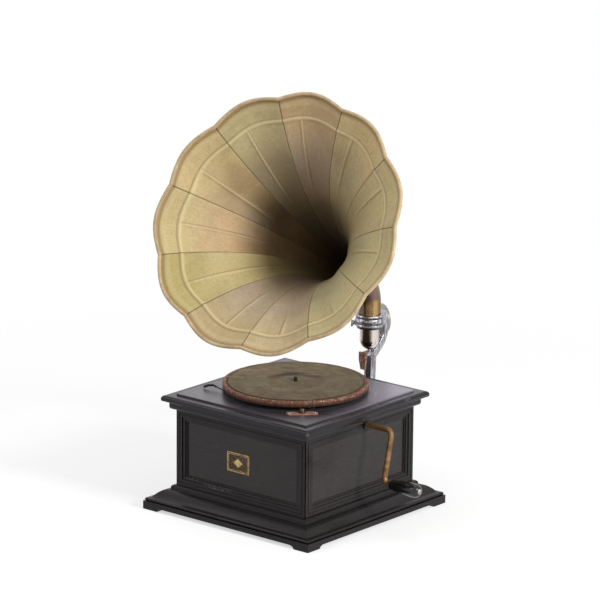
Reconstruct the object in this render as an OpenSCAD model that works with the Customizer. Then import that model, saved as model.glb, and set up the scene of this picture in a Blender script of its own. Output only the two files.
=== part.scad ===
// Table gramophone with a flower horn, a spring motor and a swinging tonearm.
// The origin is at the middle of the case on its resting face, and the front faces -Y.

/* [Case] */
// Outer width and depth of the square case body
body_w = 301; // [270:1:330]
// Height where the walls start, on top of the plinth
body_base = 44; // [40:1:60]
// Height where the walls end, under the cornice
body_top = 184; // [180:1:220]
// Thickness of the four walls
wall_t = 10; // [8:0.5:14]
// Width of the upright stiles round each panel
stile_w = 24; // [20:1:36]
// Height of the rails above and below each panel
rail_w = 20; // [18:1:30]
// Depth of the panel face behind the wall face
panel_recess = 5.5; // [4:0.5:6]
// Thickness of the panels
panel_t = 4; // [3:0.5:4]
// Thickness of the bottom board
bottom_t = 8; // [5:1:12]

/* [Plinth and cornice] */
// How far the plinth stands out from the walls
plinth_out = 41.7; // [34:0.1:56]
// Height of the flat fascia at the foot of the plinth
fascia_h = 15; // [11:0.5:18]
// Height of the gap under the plinth between the corner feet
foot_h = 6; // [3:0.5:8]
// Length of each corner foot along the floor
foot_len = 33; // [24:1:60]
// How far the lower moulding of the cornice stands out
cove_out = 8.5; // [7:0.5:15]
// How far the lip of the cornice stands out
lip_out = 19.2; // [17:0.1:30]
// Height of the whole cornice
cornice_h = 25.5; // [20:0.5:28]

/* [Motor board] */
// Width of the square motor board
board_w = 299; // [280:1:320]
// Height that the board stands above the cornice
board_rise = 3; // [3:0.5:10]
// Full thickness of the motor board
board_t = 12; // [10:0.5:16]

/* [Turntable] */
// Outer diameter of the turntable
turntable_d = 260.5; // [220:0.5:266]
// Height of the turntable rim
rim_h = 11; // [9:0.5:16]
// Width of the bare metal between the felt and the outside of the rim
bare_rim = 7.2; // [4:0.1:12]
// Gap between the motor board and the rim
rim_gap = 8.5; // [8:0.5:14]
// Thickness of the turntable plate
plate_t = 2; // [1.5:0.1:4]
// Thickness of the felt mat
felt_t = 1.5; // [1:0.1:3]
// Diameter of the spindle where the record sits
record_pin_d = 7.1; // [6.9:0.05:7.2]
// Height of the spindle above the felt
record_pin_h = 7.5; // [6:0.5:10]

/* [Crank] */
// Height of the crank shaft above the floor
crank_z = 178; // [176:0.5:182]
// Place of the crank shaft from front to back
crank_y = 15; // [8:0.5:22]
// Distance from the wall to the bent arm
crank_reach = 58.5; // [55:1:80]
// Distance between the shaft axis and the handle axis
crank_throw = 93; // [70:1:105]
// Lean of the hanging arm towards the front
crank_lean = 13; // [0:1:30]
// Diameter of the crank rod
crank_rod_d = 9.6; // [8:0.2:11]
// Length of the turned handle
handle_len = 68; // [55:1:90]
// Diameter of the handle at its outer end
handle_d = 25; // [20:0.5:30]
// Diameter of the winding shaft inside the case
shaft_d = 10; // [8:0.5:11]

/* [Bracket and tonearm] */
// Distance of the swivel axis behind the turntable centre
pivot_y = 206.7; // [200:0.1:212]
// Height of the top of the bracket ring
ring_top = 315; // [308:1:325]
// Height of the bracket ring
ring_h = 26; // [22:1:32]
// Height of the tonearm axis
arm_z = 266; // [262:0.5:268]
// Length of the tonearm from the swivel axis to the gooseneck joint
arm_len = 112; // [100:1:130]
// Direction of the parked tonearm, counted from +X
arm_park = 131.5; // [128:0.5:150]
// Outer diameter of the tonearm bend
bend_d = 35.8; // [32:0.2:37]
// Diameter of the soundbox
soundbox_d = 56; // [50:0.5:58]
// Angle that the soundbox is turned from the arm
head_angle = 28; // [20:1:32]

/* [Horn] */
// Height where the horn axis meets the swivel axis
horn_z = 368; // [360:1:380]
// Direction that the horn faces, counted from +X
horn_dir = -78.2; // [-120:0.1:-40]
// Angle of the horn axis above the horizontal
horn_rise = 28.25; // [15:0.25:45]
// Number of petals
petals = 11; // [8:1:14]
// Distance from the swivel axis to the small end of the horn
throat_at = 60; // [54:1:70]
// Distance from the swivel axis to the mouth of the horn
mouth_at = 403; // [350:1:450]
// Radius of the small end of the horn
throat_r = 23.1; // [22.5:0.1:26]
// Radius of the mouth at the notches between petals
notch_r = 221.5; // [180:0.5:250]
// How far each petal tip bulges past the notches
petal_bulge = 10; // [6:0.5:24]
// How softly the petal tips run into the notches, from sharp corners to a full wave
notch_ease = 0.4; // [0:0.05:1]
// Growth of the horn's exponential curve
flare = 3; // [2:0.1:4]
// Thickness of the horn's sheet metal
sheet_t = 1; // [0.8:0.1:1.5]
// Diameter of the rolled edge of the mouth
bead_d = 6.4; // [4:0.2:9]
// Outer diameter of the elbow tube under the horn
elbow_d = 40.7; // [38:0.1:42]

/* [Motor] */
// Distance of the spring barrel axis from the spindle, along X
barrel_x = 70; // [68:0.5:74]
// Diameter of the spring barrel
barrel_d = 76; // [68:1:78]
// Gear module of the great wheel pair
great_module = 1.25; // [1.2:0.01:1.25]
// Gear module of the spindle pair
middle_module = 1; // [0.95:0.01:1]
// Clearance between the flanks of meshing teeth
backlash = 0.22; // [0.15:0.01:0.3]
// Thickness of the two motor plates
motor_plate_t = 3; // [2.5:0.5:4]

/* [Clearances] */
// Clearance round a shaft that turns in a hole
run_gap = 0.05; // [0.03:0.01:0.1]
// Gap between faces that turn past each other
face_gap = 0.3; // [0.2:0.05:0.5]

/* [Hidden] */
$fn = 48;
case_names = ["front", "right", "back", "left"];

// Colours of the finishes
case_colour = [0.24, 0.22, 0.21];
panel_colour = [0.27, 0.25, 0.24];
steel = [0.62, 0.63, 0.65];
brass = [0.72, 0.56, 0.30];
rust = [0.45, 0.26, 0.18];
nickel = [0.74, 0.74, 0.73];
horn_colour = [0.66, 0.61, 0.41];
rim_colour = [0.66, 0.55, 0.42];
black_gloss = [0.06, 0.06, 0.07];
felt_colour = [0.33, 0.32, 0.26];

// Case levels
body_h2 = body_w / 2;
inner_h2 = body_h2 - wall_t;
cornice_top = body_top + cornice_h;
board_top = cornice_top + board_rise;
board_under = board_top - board_t;
plinth_h2 = body_h2 + plinth_out;
mitre_reach = plinth_h2 + 20;
glue_line = 0.1;

// Turntable levels
rim_bottom = board_top + rim_gap;
rim_top = rim_bottom + rim_h;
plate_top = rim_top - 1;
felt_top = plate_top + felt_t;
turntable_r = turntable_d / 2;
rim_t = 2.6;
spindle_r = 4.5;
pin_r = record_pin_d / 2;
seat_r = pin_r + 0.6;

// Motor levels, counted down from the motor board
top_plate_z = board_under - 3.5 - motor_plate_t;
crown_mesh_drop = 12;
crown_z = crank_z - crown_mesh_drop;
middle_wheel_z = crank_z - 6;
barrel_bottom = 119;
barrel_top = 156;
great_wheel_z = barrel_bottom - 7;
great_wheel_t = 6;
bottom_plate_z = great_wheel_z - 8;
governor_z = 140;

// Tooth counts of the train, which set the ratios of the joints
great_teeth = 72;
pinion_teeth = 12;
middle_teeth = 48;

// Gear train centres
pinion_r = middle_module * pinion_teeth / 2;
middle_r = middle_module * middle_teeth / 2;
small_r = great_module * pinion_teeth / 2;
great_r = great_module * great_teeth / 2;
pair1 = pinion_r + middle_r;
pair2 = small_r + great_r;
barrel_y = crank_y;
barrel_dist = norm([barrel_x, barrel_y]);
barrel_dir = atan2(barrel_y, barrel_x);
middle_turn = acos((pair1 ^ 2 + barrel_dist ^ 2 - pair2 ^ 2) / (2 * pair1 * barrel_dist));
middle_dir = barrel_dir + middle_turn;
middle_x = pair1 * cos(middle_dir);
middle_y = pair1 * sin(middle_dir);
small_dir = atan2(barrel_y - middle_y, barrel_x - middle_x);
arbor_r = 7;
middle_arbor_r = 3;

// Governor drive: a three-start worm turned by a helical wheel on the spindle
worm_starts = 3;
wheel_teeth = 36;
wheel_helix = 20;
worm_r = worm_starts / (2 * sin(wheel_helix));
wheel_r = wheel_teeth / (2 * cos(wheel_helix));
governor_x = -(worm_r + wheel_r);
worm_lead = PI * worm_starts / cos(wheel_helix);
worm_len = 14;
wheel_t = 7;
wheel_phase = 7;
governor_shaft_r = 2.5;
governor_back = 17;
governor_front = -82;
post_back = 14;
post_front = -78;
collar_back = -24;
collar_front = -62;
disc_y = -66;
disc_t = 3;
disc_r = 16;

// Regulator: a cam under the speed pointer pushes the long lever
speed_x = 98;
speed_y = -98;
cam_r = 5;
cam_offset = 2.5;
lever_pivot = [60, -95];
lever_z = top_plate_z - 10;
lever_t = 3;
pad_gap = 2.6;
pad_reach_x = -12;

// Crown wheel and winding pinion
crown_teeth = 24;
wind_teeth = 12;
wind_module = 2;
crown_r = wind_module * crown_teeth / 2;
crown_face = 5;
wind_x = barrel_x + crown_r - crown_face / 2;

// Bracket
ring_bottom = ring_top - ring_h;
ring_r = 24.8;
bead_r = 26.5;
elbow_r = elbow_d / 2;
bend_r = bend_d / 2;
elbow_end = ring_bottom + 4;
ledge_z = arm_z - 28;
ledge_t = 6;
upright_y = pivot_y + 39;

// Horn
elbow_bend_r = 60;
horn_turn = 90 - horn_rise;
elbow_tangent = elbow_bend_r * tan(horn_turn / 2);
petal_step = 360 / petals;
horn_phase = -2.6;
seam_gap = 0.3;
petal_rows = 12;
petal_cols = 8;
bead_sides = 8;

// Soundbox
head_bend_r = 28;
head_turn = 90 - head_angle;
box_r = soundbox_d / 2;
box_half = 7;
box_out = 11.5;
needle_slope = 60;
needle_reach = (arm_z - felt_top - 0.6) / sin(needle_slope);

// Brake
brake_pivot_at = [-74, -74];
brake_z = board_top + 3;
brake_tip_x = 15.5 - board_w / 2;

function polar(r, a) = [r * cos(a), r * sin(a)];
function arc(cx, cy, rx, ry, a0, a1, n) =
    [for (i = [0:n]) [cx + rx * cos(a0 + (a1 - a0) * i / n), cy + ry * sin(a0 + (a1 - a0) * i / n)]];

// Straight round rod with rounded ends between two points
module rod(a, b, r) {
    d = b - a;
    translate(a) rotate([0, acos(d.z / norm(d)), atan2(d.y, d.x)]) {
        cylinder(r = r, h = norm(d));
        sphere(r = r);
        translate([0, 0, norm(d)]) sphere(r = r);
    }
}

// Quarter turn k of the case, with the front side as turn 0
module side(k) {
    rotate([0, 0, 90 * k]) children();
}

// Wedge that cuts a front piece to its two mitres, a hair short of the glue lines
module mitre_wedge(z0, z1) {
    translate([0, -glue_line, z0 - 1])
        linear_extrude(z1 - z0 + 2)
            polygon([[0, 0], [-mitre_reach, -mitre_reach], [mitre_reach, -mitre_reach]]);
}

// Moulding along the front, from a profile of [out from the wall, height] points
module mitred(profile, z0, z1) {
    intersection() {
        rotate([90, 0, 90])
            translate([0, 0, -mitre_reach])
                linear_extrude(2 * mitre_reach)
                    polygon([for (p = profile) [-(body_h2 + p.x), p.y]]);
        mitre_wedge(z0, z1);
    }
}

// Plinth: four mitred mouldings with an ogee and a bead, cut away between the corner feet
plinth_profile = concat(
    [[-wall_t, 0], [plinth_out, 0], [plinth_out, fascia_h], [plinth_out - 2.3, fascia_h]],
    arc(plinth_out - 5.1, fascia_h + 2.8, 2.8, 2.8, -90, 90, 8),
    [[plinth_out - 7.3, fascia_h + 5.6]],
    [for (i = [8:-1:0]) [7 + (plinth_out - 18.3) * i / 8,
        body_base - 8 - (body_base - fascia_h - 14.6) * (i / 8) ^ 2]],
    [[6.6, body_base - 6.5], [6.6, body_base - 4], [5.8, body_base - 2.2], [3.5, body_base - 0.6]],
    [[0, body_base], [-wall_t, body_base]]
);
module plinth() {
    cut_h2 = plinth_h2 - foot_len - 11;
    for (k = [0:3])
        side(k) color(case_colour) difference() {
            mitred(plinth_profile, 0, body_base);
            rotate([90, 0, 0])
                translate([0, 0, inner_h2 - 1])
                    linear_extrude(plinth_out + wall_t + 2)
                        polygon(concat(
                            arc(-cut_h2, 0, 11, foot_h, 180, 90, 6),
                            arc(cut_h2, 0, 11, foot_h, 90, 0, 6),
                            [[cut_h2 + 11, -1], [-cut_h2 - 11, -1]]));
        }
}

module bottom_board() {
    color(panel_colour)
        translate([-inner_h2, -inner_h2, body_base - bottom_t])
            cube([2 * inner_h2, 2 * inner_h2, bottom_t]);
}

// Wall k: a mitred frame with stepped mouldings round an open panel, and a quirk at its corners
wall_h = body_top - body_base;
open_h2 = body_h2 - stile_w;
open_z0 = body_base + rail_w;
open_z1 = body_top - rail_w;
quirk = 1.5;
module frame_cut(inset, depth, z_inset) {
    translate([-(body_h2 - inset), -body_h2 - 1, body_base + z_inset])
        cube([2 * (body_h2 - inset), depth + 1, wall_h - 2 * z_inset]);
}
module wall(k) {
    side(k) color(case_colour) difference() {
        translate([0, 0, body_base]) linear_extrude(wall_h)
            polygon([
                [quirk - body_h2, -body_h2], [body_h2 - quirk, -body_h2],
                [body_h2 - 2 * quirk, 2 * quirk - body_h2],
                [inner_h2, -inner_h2], [-inner_h2, -inner_h2],
                [2 * quirk - body_h2, 2 * quirk - body_h2]]);
        difference() {
            frame_cut(stile_w * 0.29, 1.2, rail_w * 0.29);
            frame_cut(stile_w * 0.29 + 1.5, 2, rail_w * 0.29 + 1.5);
        }
        frame_cut(stile_w * 0.6, 1.8, rail_w * 0.6);
        frame_cut(stile_w * 0.85, 3.6, rail_w * 0.85);
        frame_cut(stile_w, wall_t + 1, rail_w);
        if (k == 1) shaft_hole();
    }
}

// Hole for the winding shaft, in the frame of the right-hand wall seen as turn 0
escutcheon_r = 9;
module shaft_hole() {
    translate([crank_y, -body_h2 - lip_out, crank_z])
        rotate([-90, 0, 0]) cylinder(r = escutcheon_r, h = wall_t + lip_out + 1);
}

// Panels: four boards, one in each frame
module case_panels() {
    for (k = [0:3])
        side(k) color(panel_colour)
            translate([-open_h2, panel_recess - body_h2, open_z0])
                cube([2 * open_h2, panel_t, open_z1 - open_z0]);
}

// Cornice: four mitred mouldings, a cove under a rounded lip
cornice_profile = concat(
    [[-wall_t, body_top], [cove_out - 5, body_top]],
    arc(cove_out - 5, body_top + 5, 5, 5, -90, 0, 5),
    [[cove_out, cornice_top - 13], [cove_out + 2, cornice_top - 12]],
    [[lip_out - 2, cornice_top - 10.6], [lip_out - 0.4, cornice_top - 9.4]],
    arc(lip_out - 6, cornice_top - 6, 6, 6, -10, 90, 8),
    [[-wall_t, cornice_top]]
);
module cornice() {
    for (k = [0:3])
        side(k) color(case_colour) difference() {
            mitred(cornice_profile, body_top, cornice_top);
            if (k == 1) shaft_hole();
        }
}

// Motor board: stands above the cornice and drops into the ring of it
board_bolts = [[-38, 40], [-38, -70], [88, -60], [84, 46]];
bolt_r = 2.5;
cam_spindle_r = 3;
module motor_board() {
    color(case_colour) difference() {
        union() {
            translate([-board_w / 2, -board_w / 2, cornice_top])
                cube([board_w, board_w, board_rise]);
            translate([-inner_h2, -inner_h2, board_under])
                cube([2 * inner_h2, 2 * inner_h2, cornice_top - board_under]);
        }
        translate([0, 0, board_under - 1]) cylinder(r = spindle_r + 4, h = board_t + 2);
        for (p = board_bolts)
            translate([p.x, p.y, board_under - 1]) cylinder(r = bolt_r, h = board_t + 2);
        translate([speed_x, speed_y, board_under - 1])
            cylinder(r = cam_spindle_r + run_gap, h = board_t + 2);
        translate([brake_pivot_at.x, brake_pivot_at.y, board_top - 8])
            cylinder(r = bolt_r, h = 9);
        translate([lever_pivot.x, lever_pivot.y, board_under - 1])
            cylinder(r = bolt_r, h = 7);
    }
}

// Name plate: a thin framed plate with a plain raised lozenge in place of any mark
plate_w = 51;
plate_h = 35.5;
plate_mid = [-8.5, 111];
module name_plate() {
    color(brass)
        translate([plate_mid.x, panel_recess - body_h2, plate_mid.y]) rotate([90, 0, 0]) {
            difference() {
                translate([-plate_w / 2, -plate_h / 2, 0]) cube([plate_w, plate_h, 1]);
                translate([-plate_w / 2 + 2, -plate_h / 2 + 2, 0.6])
                    cube([plate_w - 4, plate_h - 4, 1]);
            }
            translate([0, 0, 0.6]) linear_extrude(0.4)
                polygon([[-12, 0], [0, -9], [12, 0], [0, 9]]);
        }
}

// Escutcheon: the flanged bush in the wall that the crank passes through
module crank_escutcheon() {
    color(black_gloss)
        translate([body_h2 - wall_t, crank_y, crank_z]) rotate([0, 90, 0]) difference() {
            cylinder(r = escutcheon_r - 0.1, h = wall_t + 3);
            translate([0, 0, -1]) cylinder(r = shaft_d / 2 + run_gap, h = wall_t + 5);
        }
}

// Speed scale: a plate across the corner of the board, with plain graduation marks
scale_len = 56;
scale_w = 17;
scale_t = 1.2;
module at_scale() {
    translate([speed_x, speed_y, board_top]) rotate([0, 0, 45]) children();
}
module speed_scale() {
    color(rust) at_scale() difference() {
        union() {
            translate([-scale_len / 2 + 4, -scale_w / 2, 0])
                cube([scale_len - 8, scale_w, scale_t]);
            for (e = [-1, 1])
                translate([e * (scale_len / 2 - 8.5), 0, 0]) cylinder(r = scale_w / 2, h = scale_t);
        }
        translate([0, 0, -1]) cylinder(r = cam_spindle_r + run_gap, h = scale_t + 2);
        for (e = [-1, 1])
            translate([e * (scale_len / 2 - 6), 0, -1]) cylinder(r = 1.6, h = scale_t + 2);
        for (a = [-30:15:30])
            rotate([0, 0, a]) translate([-0.4, 4.6, scale_t - 0.4]) cube([0.8, 2.4, 1]);
    }
}
module speed_scale_screws() {
    color(steel) at_scale() for (e = [-1, 1])
        translate([e * (scale_len / 2 - 6), 0, 0]) difference() {
            union() {
                cylinder(r = 1.6, h = scale_t);
                translate([0, 0, scale_t]) cylinder(r1 = 3, r2 = 2, h = 1.4);
            }
            translate([-4, -0.4, scale_t + 0.8]) cube([8, 0.8, 1]);
        }
}

// Shouldered screw that the brake lever turns on
module brake_pivot() {
    color(steel) translate([brake_pivot_at.x, brake_pivot_at.y, board_top]) {
        translate([0, 0, -7]) cylinder(r = bolt_r, h = 7);
        cylinder(r = 4.5, h = 3 - 0.1);
        cylinder(r = bolt_r, h = 5.6);
        translate([0, 0, 5.6]) cylinder(r = 4.2, h = 1.6);
    }
}

// Bracket: one casting with a foot plate, a swept arm, a ledge under the tonearm and the ring
foot_z0 = open_z0 + 20;
foot_plate_h = 54;
foot_plate_w = 52;
foot_t = 8;
foot_y = body_h2 - panel_recess;
arm_w = 15.5;
park_gap = 0.8;
bracket_path = [
    [foot_y + 6, foot_z0 + 24], [foot_y + 24, foot_z0 + 26], [pivot_y - 13, foot_z0 + 42],
    [pivot_y - 1, foot_z0 + 70], [pivot_y + 2, foot_z0 + 104], [pivot_y + 4, ledge_z - 4],
    [pivot_y + 19, ledge_z + 9], [pivot_y + 34, ledge_z + 24],
    [upright_y, ledge_z + 40], [upright_y, ring_top - 12]];
bracket_radius = [9, 9, 8.5, 8, 8, 8, 7.2, 6.6, 6.2, 6.2];
module bracket_side() {
    for (i = [0:len(bracket_path) - 2]) {
        a = bracket_path[i];
        b = bracket_path[i + 1];
        d = b - a;
        ra = bracket_radius[i];
        rb = bracket_radius[i + 1];
        n = [-d.y, d.x] / norm(d);
        polygon([a + ra * n, b + rb * n, b - rb * n, a - ra * n]);
        translate(a) circle(r = ra);
        translate(b) circle(r = rb);
    }
}
module bracket() {
    color(steel) difference() {
        union() {
            rotate([90, 0, 90]) translate([0, 0, -arm_w / 2]) linear_extrude(arm_w)
                bracket_side();
            translate([-foot_plate_w / 2, foot_y, foot_z0])
                cube([foot_plate_w, foot_t, foot_plate_h]);
            translate([-9, pivot_y - 16.7, ledge_z]) cube([18, 24, ledge_t]);
            translate([-9, pivot_y + 14, ring_bottom])
                cube([18, upright_y - pivot_y - 12, ring_h - 1]);
            translate([0, pivot_y, ring_bottom]) {
                cylinder(r = ring_r, h = ring_h);
                for (z = [0, ring_h / 2 - 1.5, ring_h - 3]) translate([0, 0, z])
                    cylinder(r = bead_r, h = 3);
                rotate([0, 0, 220]) translate([18, -5, 3.5]) cube([9.5, 10, 11]);
            }
        }
        translate([0, pivot_y, ring_bottom - 1]) cylinder(r = bend_r + run_gap, h = ring_h + 2);
        translate([0, pivot_y, elbow_end - face_gap]) cylinder(r = elbow_r + run_gap, h = ring_h);
        translate([0, pivot_y, ledge_z - 12]) cylinder(r = pivot_screw_r, h = 30);
        for (p = foot_holes)
            translate([p.x, foot_y - 1, p.y]) rotate([-90, 0, 0])
                cylinder(r = 2.6, h = foot_t + 2);
        translate([-arm_w, foot_y - 20, foot_z0]) cube([2 * arm_w, 20, foot_plate_h]);
        translate([0, pivot_y, ring_bottom + 9]) rotate([0, 90, 220])
            cylinder(r = 2.1, h = bead_r + 4);
        translate([-20, pivot_y - 30, ledge_z + ledge_t]) cube([40, 30 + 9, 8]);
        translate([0, pivot_y, ledge_z + ledge_t])
            cylinder(r = bend_r + 4, h = ring_bottom - ledge_z - ledge_t);
        at_arm() rotate([0, 90, 0])
            cylinder(r1 = arm_r1 + park_gap, r2 = arm_r2 + park_gap, h = arm_len - spigot_len);
    }
}
foot_holes = [for (sx = [-1, 1], sz = [-1, 1])
    [sx * (foot_plate_w / 2 - 7), foot_z0 + foot_plate_h / 2 + sz * (foot_plate_h / 2 - 7)]];
module bracket_screws() {
    color(steel) for (p = foot_holes)
        translate([p.x, foot_y + foot_t, p.y]) rotate([-90, 0, 0]) difference() {
            union() {
                translate([0, 0, -foot_t]) cylinder(r = 2.5, h = foot_t);
                cylinder(r1 = 5, r2 = 3.4, h = 2.4);
            }
            translate([-6, -0.5, 1.4]) cube([12, 1, 2]);
        }
}
module collar_screw() {
    color(steel) translate([0, pivot_y, ring_bottom + 9]) rotate([0, 90, 220]) {
        translate([0, 0, elbow_r + 0.2]) cylinder(r = 2, h = 8);
        translate([0, 0, 27.6]) cylinder(r = 4.4, h = 4.5);
    }
}
pivot_screw_r = 3.5;
module pivot_screw() {
    screw_end = arm_z - bend_r + 2;
    color(steel) translate([0, pivot_y, 0]) {
        translate([0, 0, ledge_z - 4]) cylinder(r = pivot_screw_r, h = screw_end - ledge_z + 4);
        translate([0, 0, screw_end]) cylinder(r1 = pivot_screw_r, r2 = 1.2, h = 2.5);
    }
}
module pivot_plate() {
    color(rust) translate([0, pivot_y - 16.7, ledge_z + ledge_t + 1.5])
        rotate([90, 0, 0]) linear_extrude(3.4)
            polygon([[-8, 0], [8, 0], [8, -14], [5, -32], [-4, -32], [-8, -14]]);
}

// Motor plates with their bearings
plate_x0 = -48;
plate_x1 = 120;
plate_y0 = -88;
plate_y1 = 60;
pillar_at = [[plate_x0 + 7, plate_y1 - 7], [plate_x1 - 7, plate_y1 - 7],
    [plate_x0 + 7, plate_y0 + 7], [plate_x1 - 7, plate_y0 + 7]];
pillar_r = 5;
module motor_plate(z) {
    difference() {
        translate([plate_x0, plate_y0, z])
            cube([plate_x1 - plate_x0, plate_y1 - plate_y0, motor_plate_t]);
        translate([middle_x, middle_y, z - 1])
            cylinder(r = middle_arbor_r + run_gap, h = motor_plate_t + 2);
        translate([barrel_x, barrel_y, z - 1])
            cylinder(r = arbor_r - 2 + run_gap, h = motor_plate_t + 2);
        children();
    }
}
module motor_top_plate() {
    color(steel) motor_plate(top_plate_z) {
        translate([0, 0, top_plate_z - 1])
            cylinder(r = spindle_r + run_gap, h = motor_plate_t + 2);
        for (p = board_bolts) translate([p.x, p.y, top_plate_z - 1])
            cylinder(r = bolt_r, h = motor_plate_t + 2);
    }
}
module motor_bottom_plate() {
    color(steel) {
        motor_plate(bottom_plate_z) {
            translate([0, 0, bottom_plate_z - 1])
                cylinder(r = spindle_r + run_gap, h = motor_plate_t + 2);
        }
        translate([0, 0, bottom_plate_z - 4]) difference() {
            cylinder(r = 10, h = 4);
            translate([0, 0, 2]) cylinder(r = spindle_r + run_gap, h = 3);
        }
    }
}
module motor_pillars() {
    color(steel) for (p = pillar_at)
        translate([p.x, p.y, bottom_plate_z + motor_plate_t])
            cylinder(r = pillar_r, h = top_plate_z - bottom_plate_z - motor_plate_t);
}
module motor_bolts() {
    color(steel) for (p = board_bolts) translate([p.x, p.y, 0]) {
        translate([0, 0, top_plate_z])
            cylinder(r = bolt_r, h = board_top - top_plate_z);
        translate([0, 0, board_top]) cylinder(r1 = 5.5, r2 = 4, h = 2.4);
        translate([0, 0, top_plate_z + motor_plate_t])
            cylinder(r = 7, h = board_under - top_plate_z - motor_plate_t);
    }
}

// Bearing block that hangs from the top plate and carries the winding shaft
bearing_x = wind_x + crown_face + 4;
shaft_collar_t = 3;
shaft_collar_x = inner_h2 - shaft_collar_t - 1;
module winding_bearing() {
    color(steel) difference() {
        translate([bearing_x, crank_y - 9, crank_z - 10])
            cube([9, 18, top_plate_z - crank_z + 10]);
        translate([bearing_x - 1, crank_y, crank_z]) rotate([0, 90, 0])
            cylinder(r = shaft_d / 2 + run_gap, h = 11);
    }
}

// Spring that lets the shaft wind one way: it is wrapped round the shaft beside its bearing
module check_spring() {
    color(steel) translate([bearing_x + 9, crank_y, crank_z]) rotate([0, 90, 0])
        for (i = [0:5]) translate([0, 0, 1 + 1.9 * i]) rotate_extrude()
            translate([shaft_d / 2 + 1.2, 0]) circle(r = 0.9, $fn = 16);
}

// Governor bearings: two posts on the bottom plate
module governor_bearings() {
    base = bottom_plate_z + motor_plate_t;
    color(brass) for (y = [post_back, post_front]) difference() {
        translate([governor_x - 4, y - 3, base]) cube([8, 6, governor_z - base + 6]);
        translate([governor_x, y - 4, governor_z]) rotate([-90, 0, 0])
            cylinder(r = governor_shaft_r + run_gap, h = 8);
    }
}

module regulator_pivot() {
    color(steel) translate([lever_pivot.x, lever_pivot.y, lever_z]) {
        translate([0, 0, lever_t]) cylinder(r = bolt_r, h = board_under - lever_z - lever_t + 5);
        translate([0, 0, lever_t + face_gap])
            cylinder(r = 4.5, h = board_under - lever_z - lever_t - face_gap);
        translate([0, 0, -face_gap]) cylinder(r = bolt_r, h = lever_t + 2 * face_gap);
        translate([0, 0, -face_gap - 2]) cylinder(r = 4.5, h = 2);
    }
}

// Horn frame: the axis runs along +Z from the swivel axis
module at_horn() {
    translate([0, pivot_y, horn_z]) rotate([0, horn_turn, horn_dir]) children();
}
horn_len = mouth_at - throat_at;
flare_end = exp(flare) - 1;
function horn_u(i) = 1 - (1 - i / petal_rows) ^ 1.5;
function horn_radius(u) = throat_r + (notch_r - throat_r) * (exp(flare * u) - 1) / flare_end;
function horn_slope(u) = (notch_r - throat_r) * flare * exp(flare * u) / flare_end / horn_len;
function petal_wave(w) = (1 - notch_ease) * (1 - w * w) + notch_ease * (1 + cos(180 * w)) / 2;
function bulge(u, w) = petal_bulge * (horn_radius(u) / notch_r) ^ 1.4 * petal_wave(w);

// A point of petal 0 on its inner face, or on its outer face where t is the sheet's thickness
function petal_point(u, w, t) =
    let (s = horn_slope(u), n = sqrt(1 + s * s), r0 = horn_radius(u),
        a = petal_step / 2 * w * (1 - seam_gap / (r0 * petal_step * PI / 180)),
        r = r0 + bulge(u, w) + t / n)
    [r * cos(a), r * sin(a), throat_at + horn_len * u - t * s / n];
function petal_grid(t) = [for (i = [0:petal_rows], j = [0:petal_cols])
    petal_point(horn_u(i), 2 * j / petal_cols - 1, t)];
function quad(a, b, c, d) = [[a, b, c], [a, c, d]];
module petal() {
    nc = petal_cols + 1;
    o = nc * (petal_rows + 1);
    last = petal_rows * nc;
    faces = [
        for (i = [0:petal_rows - 1], j = [0:petal_cols - 1], f = concat(
            quad(o + i * nc + j, o + i * nc + nc + j, o + i * nc + nc + j + 1, o + i * nc + j + 1),
            quad(i * nc + j, i * nc + j + 1, i * nc + nc + j + 1, i * nc + nc + j))) f,
        for (j = [0:petal_cols - 1], f = concat(
            quad(o + j, o + j + 1, j + 1, j),
            quad(o + last + j + 1, o + last + j, last + j, last + j + 1))) f,
        for (i = [0:petal_rows - 1], f = concat(
            quad(o + i * nc + nc, o + i * nc, i * nc, i * nc + nc),
            quad(o + i * nc + nc - 1, o + i * nc + 2 * nc - 1, i * nc + 2 * nc - 1,
                i * nc + nc - 1))) f
    ];
    polyhedron(concat(petal_grid(0), petal_grid(sheet_t)), faces);
}
module horn_petals() {
    color(horn_colour) at_horn() for (k = [0:petals - 1])
        rotate([0, 0, horn_phase + petal_step * (k + 0.5)]) petal();
}

// Rolled edge of the mouth, a closed tube that follows the petal tips
module horn_rim() {
    per = petal_cols + 2;
    rings = petals * per;
    r = bead_d / 2;
    s = horn_slope(1);
    n = sqrt(1 + s * s);
    out = (r + 0.2 + sheet_t / 2) / n;
    points = [for (i = [0:rings - 1], j = [0:bead_sides - 1])
        let (w = 2 * ((i / per) % 1) - 1, a = petal_step * i / per,
            b = 360 * j / bead_sides,
            rc = notch_r + bulge(1, w) + out * s + r * cos(b))
        [rc * cos(a), rc * sin(a), mouth_at + out + r * sin(b)]];
    faces = [for (i = [0:rings - 1], j = [0:bead_sides - 1])
        let (i2 = (i + 1) % rings, j2 = (j + 1) % bead_sides)
        for (f = quad(i * bead_sides + j, i * bead_sides + j2,
            i2 * bead_sides + j2, i2 * bead_sides + j)) f];
    color(rim_colour) at_horn() rotate([0, 0, horn_phase]) polyhedron(points, faces);
}

module horn_ferrule() {
    color(brass) at_horn() translate([0, 0, throat_at - 12]) difference() {
        cylinder(r = throat_r - 0.1, h = 24);
        translate([0, 0, -1]) cylinder(r = elbow_r, h = 26);
    }
}

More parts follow.
